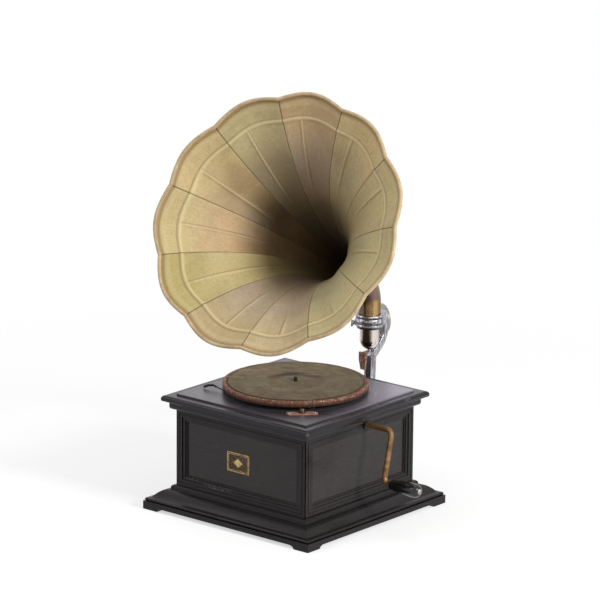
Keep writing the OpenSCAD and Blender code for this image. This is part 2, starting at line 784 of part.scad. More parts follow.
// Elbow: a bent tube that turns in the bracket ring, with a short tube brazed on for the horn
tube_t = 1.6;
braze_gap = 0.05;
module tube(r, t, h) {
    difference() {
        cylinder(r = r, h = h);
        translate([0, 0, -1]) cylinder(r = r - t, h = h + 2);
    }
}
module tube_bend(bend, r, t, angle) {
    rotate_extrude(angle = angle) translate([bend, 0]) difference() {
        circle(r = r);
        circle(r = r - t);
    }
}
module horn_elbow() {
    bend_z = horn_z - elbow_tangent;
    rise = bend_z - elbow_end;
    color(brass) translate([0, pivot_y, bend_z]) rotate([0, 0, horn_dir]) {
        translate([0, 0, -rise]) tube(elbow_r, tube_t, rise);
        translate([elbow_bend_r, 0, 0]) mirror([1, 0, 0]) rotate([90, 0, 0])
            tube_bend(elbow_bend_r, elbow_r, tube_t, horn_turn);
        translate([elbow_bend_r, 0, 0]) rotate([0, horn_turn, 0])
            translate([-elbow_bend_r, 0, braze_gap])
                tube(elbow_r, tube_t, throat_at + 6 - elbow_tangent - braze_gap);
    }
}

// Tonearm frame: +X runs along the arm from the swivel axis
module at_arm() {
    translate([0, pivot_y, arm_z]) rotate([0, 0, arm_park]) children();
}
arm_r1 = 11.5;
arm_r2 = 9.5;
spigot_len = 12;
spigot_r = arm_r2 - 1.5;
module tonearm() {
    color(nickel) at_arm() difference() {
        union() {
            cylinder(r = bend_r, h = elbow_end - face_gap * 2 - arm_z);
            sphere(r = bend_r);
            rotate([0, 90, 0]) cylinder(r1 = arm_r1, r2 = arm_r2, h = arm_len - spigot_len);
            translate([arm_len - spigot_len - 1, 0, 0]) rotate([0, 90, 0])
                cylinder(r = arm_r2 + 1, h = spigot_len + 1);
        }
        cylinder(r = bend_r - 1.6, h = 60);
        sphere(r = bend_r - 1.6);
        rotate([0, 90, 0]) cylinder(r1 = arm_r1 - 1.6, r2 = arm_r2 - 1.6, h = arm_len - spigot_len);
        translate([arm_len - spigot_len - 2, 0, 0]) rotate([0, 90, 0])
            cylinder(r = spigot_r + run_gap, h = spigot_len + 4);
        translate([0, 0, -bend_r - 10]) cylinder(r = pivot_screw_r + run_gap, h = 14);
    }
}

// Gooseneck: turns on the end of the arm so that the needle can be lifted
gooseneck_r = 8.6;
gooseneck_t = 1.8;
module at_head_bend() {
    at_arm() translate([arm_len + face_gap, -head_bend_r, 0]) rotate([0, 0, head_angle]) children();
}
module at_head() {
    at_head_bend() translate([head_bend_r, 0, 0]) rotate([90, 0, 0])
        translate([0, 0, box_out]) children();
}
module gooseneck() {
    color(nickel) {
        at_arm() translate([arm_len - spigot_len + 1, 0, 0]) rotate([0, 90, 0])
            tube(spigot_r, spigot_r - gooseneck_r + gooseneck_t,
                spigot_len - 1 + face_gap - braze_gap);
        at_head_bend() tube_bend(head_bend_r, gooseneck_r, gooseneck_t, head_turn);
        at_head() translate([0, 0, braze_gap - box_out])
            tube(gooseneck_r, gooseneck_t, box_out - box_half - braze_gap);
    }
}

// Soundbox: the local +Z faces out of its front and +Y is up
module soundbox_flange() {
    color(black_gloss) at_head() translate([0, 0, -box_half - 3]) difference() {
        cylinder(r = 15, h = 3);
        translate([0, 0, -1]) cylinder(r = gooseneck_r + 0.05, h = 5);
    }
}
shell_t = 1.6;
module soundbox_shell() {
    color(nickel) at_head() difference() {
        translate([0, 0, -box_half]) cylinder(r = box_r, h = 2 * box_half);
        translate([0, 0, shell_t - box_half]) cylinder(r = box_r - 2.6, h = 2 * box_half - 3.2);
        translate([0, 0, 0]) cylinder(r = box_r - 5, h = 2 * box_half);
        translate([0, 0, -box_half - 1]) cylinder(r = gooseneck_r - gooseneck_t, h = 4);
    }
}
module diaphragm() {
    color([0.30, 0.33, 0.30]) at_head() {
        translate([0, 0, 2]) cylinder(r = box_r - 2.8, h = 0.6);
        for (z = [-1, 2.8]) translate([0, 0, z]) difference() {
            cylinder(r = box_r - 2.8, h = z < 0 ? 2.8 : 2.4);
            translate([0, 0, -1]) cylinder(r = box_r - 5.4, h = 6);
        }
    }
}
module at_stylus() {
    at_head() translate([0, 0, box_half + 2.2]) rotate([0, 0, -needle_slope])
        rotate([0, 90, 0]) children();
}
chuck_at = box_r - 1;
chuck_len = 4.5;
needle_bore = 0.9;
module stylus_bar() {
    color(nickel) {
        at_head() translate([0, 0, 2.7]) cylinder(r = 1.2, h = box_half - 0.5);
        at_stylus() difference() {
            union() {
                cylinder(r = 1.2, h = chuck_at);
                translate([0, 0, chuck_at - 4]) cylinder(r = 2.2, h = chuck_len + 4);
            }
            translate([0, 0, chuck_at - 3]) cylinder(r = needle_bore, h = chuck_len + 4);
            translate([0, 0, chuck_at + 1]) rotate([0, -90, 0]) cylinder(r = 0.8, h = 4);
        }
        at_head() rotate([0, 0, -needle_slope]) translate([box_r - 6, -3.5, box_half])
            cube([4, 7, 1]);
    }
}
module needle() {
    color(steel) at_stylus() {
        translate([0, 0, chuck_at - 3]) cylinder(r = needle_bore - 0.05, h = needle_reach - chuck_at);
        translate([0, 0, needle_reach - 3]) cylinder(r1 = needle_bore - 0.05, r2 = 0.15, h = 3);
    }
}
module needle_screw() {
    color(nickel) at_stylus() translate([0, 0, chuck_at + 1]) rotate([0, -90, 0]) {
        translate([0, 0, 1]) cylinder(r = 0.75, h = 3);
        translate([0, 0, 2.4]) cylinder(r = 2, h = 3.4);
    }
}

// Turntable: a pressed plate with a turned-down rim and a hub on the spindle
hub_r = 12;
module turntable() {
    color(rust) difference() {
        union() {
            translate([0, 0, plate_top - plate_t]) cylinder(r = turntable_r - 0.5, h = plate_t, $fn = 120);
            difference() {
                translate([0, 0, rim_bottom]) cylinder(r = turntable_r, h = rim_h, $fn = 120);
                translate([0, 0, rim_bottom - 1])
                    cylinder(r = turntable_r - rim_t, h = rim_h + 2, $fn = 120);
            }
            translate([0, 0, plate_top - 14]) cylinder(r = hub_r, h = 13);
        }
        translate([0, 0, plate_top - 20]) cylinder(r = seat_r + 0.02, h = 30);
    }
}
module felt_mat() {
    color(felt_colour) translate([0, 0, plate_top]) difference() {
        cylinder(r = turntable_r - bare_rim, h = felt_t, $fn = 120);
        translate([0, 0, -1]) cylinder(r = seat_r + 0.3, h = felt_t + 2);
    }
}

// Involute spur gear outline with tooth 0 on +X
function inv(rb, r) = sqrt(max(0, (r / rb) ^ 2 - 1)) * 180 / PI - acos(min(1, rb / r));
function gear_points(z, m, slack) =
    let (rp = m * z / 2, rb = rp * cos(20), tip = rp + 0.85 * m, root = rp - 1.15 * m,
        half = 90 / z - slack / rp * 90 / PI, start = max(rb, root),
        radii = [for (i = [0:4]) start + (tip - start) * i / 4])
    [for (k = [0:z - 1]) each concat(
        [polar(root, 360 * k / z - half - inv(rb, rp))],
        [for (r = radii) polar(r, 360 * k / z - half - inv(rb, rp) + inv(rb, r))],
        [for (i = [4:-1:0]) polar(radii[i], 360 * k / z + half + inv(rb, rp) - inv(rb, radii[i]))],
        [polar(root, 360 * k / z + half + inv(rb, rp))])];

// Spindle with its pinion and the hub of the governor wheel
module spindle() {
    color(steel) {
        translate([0, 0, bottom_plate_z - 1.6])
            cylinder(r = spindle_r, h = plate_top - 14 - bottom_plate_z + 1.6);
        translate([0, 0, plate_top - 15]) cylinder(r = seat_r, h = felt_top - plate_top + 15);
        translate([0, 0, felt_top - 1]) cylinder(r = pin_r, h = record_pin_h);
        translate([0, 0, felt_top + record_pin_h - 1]) cylinder(r1 = pin_r, r2 = pin_r - 0.8, h = 1);
        translate([0, 0, middle_wheel_z - 2]) rotate([0, 0, middle_dir]) linear_extrude(8)
            polygon(gear_points(pinion_teeth, middle_module, backlash));
        translate([0, 0, governor_z - wheel_t / 2]) cylinder(r = 8, h = wheel_t);
    }
}

// Helical wheel that drives the governor worm
function helical_points() =
    let (mt = 1 / cos(wheel_helix), half = 90 / wheel_teeth - 0.2 / wheel_r * 90 / PI)
    [for (k = [0:wheel_teeth - 1], p = [[-1.1, -1.34], [0, -1], [0.8, -0.55],
            [0.8, 0.55], [0, 1], [-1.1, 1.34]])
        polar(wheel_r + p.x, 360 * k / wheel_teeth + p.y * half)];
module governor_wheel() {
    twist = 360 * wheel_t * tan(wheel_helix) / (2 * PI * wheel_r);
    color(brass) translate([0, 0, governor_z - wheel_t / 2])
        rotate([0, 0, 180 + wheel_phase - twist / 2])
            linear_extrude(wheel_t, twist = -twist, slices = 3, segments = 0) difference() {
                polygon(helical_points());
                circle(r = 8.1, $fn = 24);
            }
}

// Spring barrel, with the great wheel as its lower flange
module spring_barrel() {
    color(brass) translate([barrel_x, barrel_y, 0]) {
        translate([0, 0, great_wheel_z])
            rotate([0, 0, small_dir + 180 + 180 / great_teeth]) linear_extrude(great_wheel_t)
                difference() {
                    polygon(gear_points(great_teeth, great_module, backlash));
                    circle(r = arbor_r + run_gap);
                }
        translate([0, 0, great_wheel_z + great_wheel_t]) difference() {
            cylinder(r = barrel_d / 2, h = barrel_top - great_wheel_z - great_wheel_t);
            translate([0, 0, 3]) cylinder(r = barrel_d / 2 - 2, h = barrel_top);
            translate([0, 0, -1]) cylinder(r = arbor_r + run_gap, h = 10);
        }
    }
}
module barrel_cover() {
    color(brass) translate([barrel_x, barrel_y, barrel_top - 3]) difference() {
        cylinder(r = barrel_d / 2 - 2.1, h = 3);
        translate([0, 0, -1]) cylinder(r = arbor_r + run_gap, h = 5);
    }
}

// Mainspring: a flat spiral strip
spring_turns = 7;
spring_step = (barrel_d / 2 - 2 - face_gap - arbor_r - 4.2) / spring_turns;
function spiral(r0, n, back) = [for (i = [0:24 * n])
    let (k = back ? 24 * n - i : i) polar(r0 + spring_step * k / 24, 15 * k)];
module mainspring() {
    z0 = great_wheel_z + great_wheel_t + 3 + face_gap;
    color([0.35, 0.36, 0.40]) translate([barrel_x, barrel_y, z0])
        linear_extrude(barrel_top - 4 - z0)
            polygon(concat(spiral(arbor_r + 3, spring_turns, false),
                spiral(arbor_r + 4.2, spring_turns, true)));
}

// Barrel arbor with the crown wheel that the winding pinion drives
module barrel_arbor() {
    top = top_plate_z + motor_plate_t;
    color(steel) translate([barrel_x, barrel_y, 0]) {
        translate([0, 0, bottom_plate_z + 0.5]) cylinder(r = arbor_r - 2, h = top - bottom_plate_z - 1);
        translate([0, 0, bottom_plate_z + motor_plate_t + face_gap])
            cylinder(r = arbor_r, h = crown_z - 3 - bottom_plate_z - motor_plate_t);
        translate([0, 0, crown_z - 5.2]) cylinder(r = crown_r + crown_face / 2, h = 3);
        for (k = [0:crown_teeth - 1]) rotate([0, 0, 360 / crown_teeth * (k + 0.5)])
            translate([crown_r - crown_face / 2, 0, crown_z]) rotate([90, 0, 90])
                linear_extrude(crown_face - 0.3)
                    polygon([[-1.7, -2.6], [1.7, -2.6], [1.1, 0], [0.6, 1.5], [-0.6, 1.5], [-1.1, 0]]);
    }
}

// Intermediate arbor with its wheel and pinion
module middle_wheel() {
    color(brass) translate([middle_x, middle_y, 0]) {
        translate([0, 0, bottom_plate_z + 0.5])
            cylinder(r = middle_arbor_r, h = top_plate_z + motor_plate_t - bottom_plate_z - 1);
        translate([0, 0, middle_wheel_z])
            rotate([0, 0, middle_dir + 180 + 180 / middle_teeth]) linear_extrude(4)
                polygon(gear_points(middle_teeth, middle_module, backlash));
        translate([0, 0, great_wheel_z - 1]) rotate([0, 0, small_dir])
            linear_extrude(great_wheel_t + 2)
                polygon(gear_points(pinion_teeth, great_module, backlash));
    }
}

// Governor: a shaft along Y with three sprung weights and a friction disc
module at_governor(y) {
    translate([governor_x, y, governor_z]) rotate([-90, 0, 0]) children();
}
module governor_shaft() {
    color(steel) {
        at_governor(governor_front) cylinder(r = governor_shaft_r, h = governor_back - governor_front);
        at_governor(collar_back - 3) cylinder(r = 6, h = 6);
        at_governor(collar_front - 3) cylinder(r = 6, h = 6);
        at_governor(disc_y - disc_t) cylinder(r = disc_r, h = disc_t);
        at_governor(disc_y - 0.5) cylinder(r = 4, h = collar_front - disc_y);
    }
}
function worm_points() = [for (k = [0:worm_starts - 1], p = [
        [-1.1, -39], [-0.5, -31], [0, -23.5], [0.8, -13.5],
        [0.8, 13.5], [0, 23.5], [-0.5, 31], [-1.1, 39]])
    polar(worm_r + p.x, 360 * k / worm_starts + p.y)];
module governor_worm() {
    twist = 360 * worm_len / worm_lead;
    color(steel) at_governor(-worm_len / 2) rotate([0, 0, twist / 2])
        linear_extrude(worm_len, twist = -twist, slices = 32, segments = 0) difference() {
            polygon(worm_points());
            circle(r = governor_shaft_r + 0.15, $fn = 12);
        }
}
module governor_weights() {
    mid = (collar_back + collar_front) / 2;
    for (k = [0:2]) at_governor(mid) rotate([0, 0, 120 * k]) {
        color(brass) translate([18.9, 0, 0]) sphere(r = 5);
        color(steel) rotate([90, 0, 0]) translate([0, 0, -2.5]) linear_extrude(5)
            polygon([[6, -19], [6.6, -19], [13.8, -6], [13.8, 6], [6.6, 19], [6, 19],
                [13.1, 5.8], [13.1, -5.8]]);
    }
}

// Speed control: the pointer above the board and the cam below it turn together
module speed_pointer() {
    color(brass) at_scale() translate([0, 0, scale_t + face_gap]) {
        cylinder(r = 5.5, h = 2);
        translate([0, 0, 2]) cylinder(r = 4, h = 5);
        linear_extrude(1.2) polygon([[-2.4, 2], [2.4, 2], [0.5, 12], [-0.5, 12]]);
    }
}
module regulator_cam() {
    color(steel) translate([speed_x, speed_y, 0]) {
        translate([0, 0, lever_z - 1])
            cylinder(r = cam_spindle_r, h = board_top + scale_t + face_gap - lever_z + 1);
        translate([cam_offset, 0, lever_z - 1]) cylinder(r = cam_r, h = lever_t + 2);
    }
}

// Regulator lever: a flat bar from the cam to the governor disc, with a leg that carries the pad
pad_face_y = disc_y - disc_t - pad_gap;
pad_t = 3;
leg_y = pad_face_y - pad_t - 3;
tail_y = speed_y + cam_r + 0.3;
module regulator_lever() {
    color(steel) difference() {
        union() {
            translate([0, 0, lever_z]) linear_extrude(lever_t) {
                polygon([[lever_pivot.x - 4, lever_pivot.y - 5], [lever_pivot.x, lever_pivot.y - 6],
                    [speed_x - cam_r - 4, tail_y - 1], [speed_x - cam_r - 4, tail_y],
                    [speed_x + 7, tail_y], [speed_x + 7, tail_y + 6],
                    [lever_pivot.x, lever_pivot.y + 6],
                    [pad_reach_x, leg_y + 7], [pad_reach_x - 4, leg_y + 3], [pad_reach_x - 4, leg_y]]);
                translate(lever_pivot) circle(r = 6);
            }
            translate([pad_reach_x - 3, leg_y, governor_z - 5])
                cube([6, 3, lever_z + lever_t - governor_z + 5]);
        }
        translate([lever_pivot.x, lever_pivot.y, lever_z - 1])
            cylinder(r = bolt_r + run_gap, h = lever_t + 2);
    }
}
module regulator_pad() {
    color([0.62, 0.55, 0.42])
        translate([pad_reach_x, leg_y + 3, governor_z]) rotate([-90, 0, 0])
            cylinder(r = 4, h = pad_t);
}

// Winding shaft with its pinion; the crank screws into its outer end
socket_x = body_h2 + 3;
module winding_shaft() {
    color(steel) translate([0, crank_y, crank_z]) rotate([0, 90, 0]) difference() {
        union() {
            translate([0, 0, wind_x - 1]) cylinder(r = shaft_d / 2, h = socket_x - wind_x + 1);
            translate([0, 0, wind_x]) linear_extrude(crown_face)
                polygon(gear_points(wind_teeth, wind_module, backlash * 1.6));
            translate([0, 0, shaft_collar_x]) cylinder(r = shaft_d / 2 + 3, h = shaft_collar_t);
        }
        translate([0, 0, socket_x - 14]) cylinder(r = 3, h = 15);
    }
}

// Crank frame: the hanging arm is along local -Z
module at_crank() {
    translate([0, crank_y, crank_z]) rotate([-crank_lean, 0, 0]) children();
}
corner_x = body_h2 + crank_reach;
rod_r = crank_rod_d / 2;
crank_bend = 11;
handle_x = corner_x + 12;
handle_pin_r = 3.2;
module crank_bend_at(x, z, turn) {
    translate([x, 0, z]) rotate([90, turn, 0])
        rotate_extrude(angle = 90) translate([crank_bend, 0]) circle(r = rod_r);
}
module crank_rod() {
    color(brass) at_crank() {
        translate([socket_x - 13, 0, 0]) rotate([0, 90, 0]) cylinder(r = 2.95, h = 14);
        translate([socket_x, 0, 0]) rotate([0, 90, 0])
            cylinder(r = rod_r, h = corner_x - crank_bend - socket_x);
        crank_bend_at(corner_x - crank_bend, -crank_bend, 0);
        translate([corner_x, 0, crank_bend - crank_throw])
            cylinder(r = rod_r, h = crank_throw - 2 * crank_bend);
        crank_bend_at(corner_x + crank_bend, crank_bend - crank_throw, 180);
        translate([corner_x + crank_bend, 0, -crank_throw]) rotate([0, 90, 0]) {
            cylinder(r = rod_r, h = handle_x - corner_x - crank_bend);
            cylinder(r = handle_pin_r, h = handle_x - corner_x - crank_bend + handle_len + 1);
        }
        translate([handle_x + handle_len + face_gap, 0, -crank_throw]) rotate([0, 90, 0])
            cylinder(r1 = 5, r2 = 3.4, h = 1.6);
    }
}

// Handle: a turned grip that spins on its pin, thickest near its outer end
module crank_handle() {
    r = handle_d / 2;
    color(black_gloss) at_crank() translate([handle_x + face_gap, 0, -crank_throw])
        rotate([0, 90, 0]) difference() {
            rotate_extrude() polygon(concat(
                [[0, 0], [r * 0.62, 0], [r * 0.68, 2]],
                [for (i = [1:6]) [r * (0.68 + 0.32 * sin(15 * i)), 2 + (handle_len - 14) * i / 6]],
                [for (i = [1:5]) [r * (0.4 + 0.6 * cos(18 * i)), handle_len - 12 + 12 * sin(18 * i)]],
                [[0, handle_len]]));
            translate([0, 0, -1]) cylinder(r = handle_pin_r + run_gap, h = handle_len + 2);
        }
}

// Brake: a bent lever beside the turntable, with a pad that bears on the inside of the rim
brake_dir = atan2(brake_pivot_at.y, brake_pivot_at.x);
brake_t = 2.5;
brake_pad_w = 9;
brake_pad_t = 5;
brake_lead = 9;
brake_gap = 0.4;
pad_face_r = sqrt((turntable_r - rim_t - brake_gap) ^ 2 - (brake_pad_w / 2) ^ 2);
brake_pad_at = polar(pad_face_r - brake_pad_t / 2, brake_dir + brake_lead);
brake_path = [
    [brake_pivot_at.x - 3, brake_pivot_at.y - 3, brake_z + brake_t / 2],
    [brake_tip_x + 43, -90, brake_z + brake_t / 2], [brake_tip_x + 22, -87, board_top + 6.5],
    [brake_tip_x + 15, -86, board_top + 7.5], [brake_tip_x + 7, -89, board_top + 6.8],
    [brake_tip_x, -93, board_top + 3.6]];
brake_rod_r = [brake_t / 2, brake_t / 2, 1.9, 2.2, 2.3];
module brake_lever() {
    p = [brake_pivot_at.x, brake_pivot_at.y, brake_z + brake_t / 2];
    d = brake_pad_at - brake_pivot_at;
    color(black_gloss) difference() {
        union() {
            translate([p.x, p.y, brake_z]) cylinder(r = 5, h = brake_t);
            translate([p.x, p.y, brake_z]) rotate([0, 0, atan2(d.y, d.x)])
                translate([0, -3, 0]) cube([norm(d) + 3, 6, brake_t]);
            for (i = [0:len(brake_path) - 2])
                rod(brake_path[i], brake_path[i + 1], brake_rod_r[i]);
        }
        translate([p.x, p.y, brake_z - 1]) cylinder(r = bolt_r + run_gap, h = brake_t + 2);
    }
}
module brake_pad() {
    color([0.45, 0.33, 0.22]) rotate([0, 0, brake_dir + brake_lead])
        translate([pad_face_r - brake_pad_t, -brake_pad_w / 2, brake_z + brake_t])
            cube([brake_pad_t, brake_pad_w, rim_bottom + 4 - brake_z - brake_t]);
}

plinth();
bottom_board();
wall(0);  // wall_front
wall(1);  // wall_right
wall(2);  // wall_back
wall(3);  // wall_left
case_panels();
cornice();
motor_board();
name_plate();
crank_escutcheon();
speed_scale();
speed_scale_screws();
brake_pivot();
bracket();
bracket_screws();
collar_screw();
pivot_screw();
pivot_plate();
motor_top_plate();
motor_bottom_plate();
motor_pillars();
motor_bolts();
winding_bearing();
check_spring();
governor_bearings();
regulator_pivot();
horn_petals();
horn_rim();
horn_ferrule();
horn_elbow();
tonearm();
gooseneck();
soundbox_flange();
soundbox_shell();
diaphragm();
stylus_bar();
needle();
needle_screw();
turntable();
felt_mat();
spindle();
governor_wheel();
spring_barrel();
barrel_cover();
mainspring();
barrel_arbor();
middle_wheel();
governor_shaft();
governor_worm();
governor_weights();
speed_pointer();
regulator_cam();
regulator_lever();
regulator_pad();
winding_shaft();
crank_rod();
crank_handle();
brake_lever();
brake_pad();
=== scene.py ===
# Table gramophone with a flower horn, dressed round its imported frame.
# Lengths are in metres on the frame's axes: the front faces -Y, the crank is on +X, up is +Z.
import math

import bmesh
import bpy
from mathutils import Matrix, Vector


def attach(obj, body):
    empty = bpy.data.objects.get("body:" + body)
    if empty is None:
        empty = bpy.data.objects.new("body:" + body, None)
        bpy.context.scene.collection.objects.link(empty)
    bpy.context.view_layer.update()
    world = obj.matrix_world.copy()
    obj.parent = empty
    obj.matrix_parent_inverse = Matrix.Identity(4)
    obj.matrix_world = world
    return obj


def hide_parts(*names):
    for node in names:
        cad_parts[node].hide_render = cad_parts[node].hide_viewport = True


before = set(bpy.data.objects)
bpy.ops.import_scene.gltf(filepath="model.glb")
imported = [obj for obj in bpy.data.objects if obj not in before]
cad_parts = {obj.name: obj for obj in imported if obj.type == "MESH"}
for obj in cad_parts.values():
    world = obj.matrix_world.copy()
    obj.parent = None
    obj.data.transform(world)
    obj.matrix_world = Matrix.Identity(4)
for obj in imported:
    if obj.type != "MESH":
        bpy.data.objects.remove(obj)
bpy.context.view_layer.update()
mm = 0.001

# Camera, stood where the photograph was taken from: three quarters to the front and right,
# looking a little down through a long lens.
def rotated(degrees, axis):
    """A turn about an axis through the origin."""
    return Matrix.Rotation(math.radians(degrees), 4, axis)


camera_at = (4.6645, -5.5515, 2.3197)
camera_turn, camera_pitch, camera_roll = 39.985, 14.969, 0.459
view_lens = bpy.data.cameras.new("photo_camera")
view_lens.sensor_width = 36
view_lens.lens = 254.73
view_lens.clip_end = 60
camera = bpy.data.objects.new("photo_camera", view_lens)
camera.matrix_world = (
    Matrix.Translation(camera_at) @ rotated(camera_turn, "Z")
    @ rotated(90 - camera_pitch, "X") @ rotated(camera_roll, "Z"))
bpy.context.scene.collection.objects.link(camera)
bpy.context.scene.camera = camera
bpy.context.scene.view_settings.view_transform = "Standard"


# White studio sweep: a wide matt floor that fades into a white surround, a key lamp on the
# right, one large soft lamp overhead and one in front on the left.
def calculated(operation, first, second=0.0):
    """One Math node; each value is a socket or a number, and at least one is a socket."""
    tree = (second if isinstance(first, (int, float)) else first).id_data
    sum_node = tree.nodes.new("ShaderNodeMath")
    sum_node.operation = operation
    for socket, value in zip(sum_node.inputs, (first, second)):
        if isinstance(value, (int, float)):
            socket.default_value = value
        else:
            tree.links.new(value, socket)
    return sum_node.outputs[0]


def spread(amount, low, high, out_low=0.0, out_high=1.0):
    """Stretches the values between low and high over another range."""
    ranged = amount.id_data.nodes.new("ShaderNodeMapRange")
    for socket, value in (("From Min", low), ("From Max", high),
                          ("To Min", out_low), ("To Max", out_high)):
        ranged.inputs[socket].default_value = value
    amount.id_data.links.new(amount, ranged.inputs["Value"])
    return ranged.outputs["Result"]


def place(tree, centre=(0, 0, 0), turn=(0, 0, 0), size=(1, 1, 1), source="Object"):
    """Coordinates counted from a centre, turned and stretched."""
    where = tree.nodes.new("ShaderNodeTexCoord")
    move = tree.nodes.new("ShaderNodeMapping")
    move.vector_type = "TEXTURE"
    move.inputs["Location"].default_value = centre
    move.inputs["Rotation"].default_value = turn
    move.inputs["Scale"].default_value = size
    tree.links.new(where.outputs[source], move.inputs["Vector"])
    return move.outputs["Vector"]


def reach(where):
    """Distance from the centre of those coordinates."""
    length = where.id_data.nodes.new("ShaderNodeVectorMath")
    length.operation = "LENGTH"
    where.id_data.links.new(where, length.inputs[0])
    return length.outputs["Value"]


def seen_directly(tree):
    """1 where the camera, a reflection or a glass sees the surface, and 0 where it lights."""
    ray = tree.nodes.new("ShaderNodeLightPath").outputs
    seen = calculated("MAXIMUM", ray["Is Camera Ray"], ray["Is Glossy Ray"])
    return calculated("MAXIMUM", seen, ray["Is Transmission Ray"])


ambient, backdrop_white = 0.36, 1.0
surround = bpy.data.worlds.new("white_surround")
bpy.context.scene.world = surround
surround.use_nodes = True
sky = surround.node_tree
sky_paint = sky.nodes["Background"].inputs
sky_paint["Color"].default_value = (1, 1, 1, 1)
sky.links.new(spread(seen_directly(sky), 0, 1, ambient, backdrop_white), sky_paint["Strength"])

floor_grey, floor_glow = 0.5, 0.6
fade_from, fade_to = 0.3, 1.5
floor_paint = bpy.data.materials.new("floor_paint")
floor_paint.use_nodes = True
floor_tree = floor_paint.node_tree
floor_tree.nodes.remove(floor_tree.nodes["Principled BSDF"])
matt = floor_tree.nodes.new("ShaderNodeBsdfDiffuse")
matt.inputs["Color"].default_value = (floor_grey, floor_grey, floor_grey, 1)
glow = floor_tree.nodes.new("ShaderNodeEmission")
near_floor = floor_tree.nodes.new("ShaderNodeAddShader")
far_white = floor_tree.nodes.new("ShaderNodeEmission")
fading = floor_tree.nodes.new("ShaderNodeMixShader")
far_off = spread(reach(place(floor_tree)), fade_from, fade_to)
for from_socket, to_socket in (
        (calculated("MULTIPLY", seen_directly(floor_tree), floor_glow), glow.inputs["Strength"]),
        (matt.outputs[0], near_floor.inputs[0]),
        (glow.outputs[0], near_floor.inputs[1]),
        (calculated("MULTIPLY", seen_directly(floor_tree), far_off), fading.inputs[0]),
        (near_floor.outputs[0], fading.inputs[1]),
        (far_white.outputs[0], fading.inputs[2]),
        (fading.outputs[0], floor_tree.nodes["Material Output"].inputs["Surface"])):
    floor_tree.links.new(from_socket, to_socket)

floor_r, floor_gap = 14, 0.3 * mm
bm = bmesh.new()
bmesh.ops.create_circle(bm, cap_ends=True, segments=64, radius=floor_r)
bmesh.ops.translate(bm, verts=bm.verts, vec=(0, 0, -floor_gap))
floor_mesh = bpy.data.meshes.new("studio_floor")
bm.to_mesh(floor_mesh)
bm.free()
floor_mesh.materials.append(floor_paint)
floor = bpy.data.objects.new("studio_floor", floor_mesh)
bpy.context.scene.collection.objects.link(floor)

lamps_aim = Vector((0, 0, 0.3))
lamp_plan = (
    ("key_lamp", (3.1, -0.1, 1.7), 0.6, 84),
    ("top_lamp", (-0.5, -0.3, 3.7), 2.4, 20),
    ("front_lamp", (-1.9, -2.7, 3.0), 2.0, 36),
)
for lamp_name, lamp_at, lamp_size, lamp_power in lamp_plan:
    softbox = bpy.data.lights.new(lamp_name, "AREA")
    softbox.shape = "SQUARE"
    softbox.size = lamp_size
    softbox.energy = lamp_power
    lamp = bpy.data.objects.new(lamp_name, softbox)
    lamp.location = lamp_at
    lamp.rotation_mode = "QUATERNION"
    lamp.rotation_quaternion = (lamps_aim - Vector(lamp_at)).to_track_quat("-Z", "Y")
    bpy.context.scene.collection.objects.link(lamp)


# Woodwork of the case: plinth, four framed walls, cornice and motor board of hardwood, stained
# black and waxed to a satin. The mouldings are mitred and glued; edges are rubbed and scuffed.
def paint(red, green, blue):
    """A colour from its screen values of 0 to 255."""
    return [c / 3294.6 if c < 10.3 else ((c / 255 + 0.055) / 1.055) ** 2.4
            for c in (red, green, blue)]


def new_finish(name, roughness, metallic=0.0, specular=0.5):
    """A node material whose constant values sit on its shader's own sockets."""
    finish = bpy.data.materials.new(name)
    finish.use_nodes = True
    shader = finish.node_tree.nodes["Principled BSDF"]
    shader.inputs["Roughness"].default_value = roughness
    shader.inputs["Metallic"].default_value = metallic
    shader.inputs["Specular IOR Level"].default_value = specular
    return finish, finish.node_tree, shader


def feed(node, name, value):
    """Links a value to one of a node's sockets."""
    node.id_data.links.new(value, node.inputs[name])


def fed(node, name):
    """What is linked to that socket."""
    return node.inputs[name].links[0].from_socket


def mottle(where, scale, detail=4.0, roughness=0.6, distortion=0.0):
    """Soft noise from 0 to 1 with features about 1 / scale metres wide."""
    noise = where.id_data.nodes.new("ShaderNodeTexNoise")
    for socket, value in (("Scale", scale), ("Detail", detail), ("Roughness", roughness),
                          ("Distortion", distortion)):
        noise.inputs[socket].default_value = value
    feed(noise, "Vector", where)
    return noise.outputs["Fac"]


def tones(amount, *stops, blend="LINEAR"):
    """A ramp of (place, linear colour) stops."""
    ramp = amount.id_data.nodes.new("ShaderNodeValToRGB")
    ramp.color_ramp.interpolation = blend
    while len(ramp.color_ramp.elements) < len(stops):
        ramp.color_ramp.elements.new(1.0)
    for element, (at, colour) in zip(ramp.color_ramp.elements, stops):
        element.position = at
        element.color = (*colour, 1.0)
    feed(ramp, "Fac", amount)
    return ramp.outputs["Color"]


def painted(amount, *stops, blend="LINEAR"):
    """A ramp of (place, screen colour) stops."""
    return tones(amount, *((at, paint(*shade)) for at, shade in stops), blend=blend)


def laid_over(mask, under, over, share=1.0, kind="MIX"):
    """A socket or screen colour on top of a colour socket, where the mask is 1, by that share."""
    mix = under.id_data.nodes.new("ShaderNodeMix")
    mix.data_type = "RGBA"
    mix.blend_type = kind
    under_socket, over_socket, mixed_socket = mix.inputs[6], mix.inputs[7], mix.outputs[2]
    if mask is None:
        mix.inputs["Factor"].default_value = share
    else:
        feed(mix, "Factor", calculated("MULTIPLY", mask, share))
    mix.id_data.links.new(under, under_socket)
    if isinstance(over, tuple):
        over_socket.default_value = (*paint(*over), 1.0)
    else:
        mix.id_data.links.new(over, over_socket)
    return mixed_socket


def overpaint(finish, mask, over, share=1.0, kind="MIX"):
    """Lays a screen colour or socket over the colour that a finish already has."""
    shader = finish.node_tree.nodes["Principled BSDF"]
    feed(shader, "Base Color", laid_over(mask, fed(shader, "Base Color"), over, share, kind))


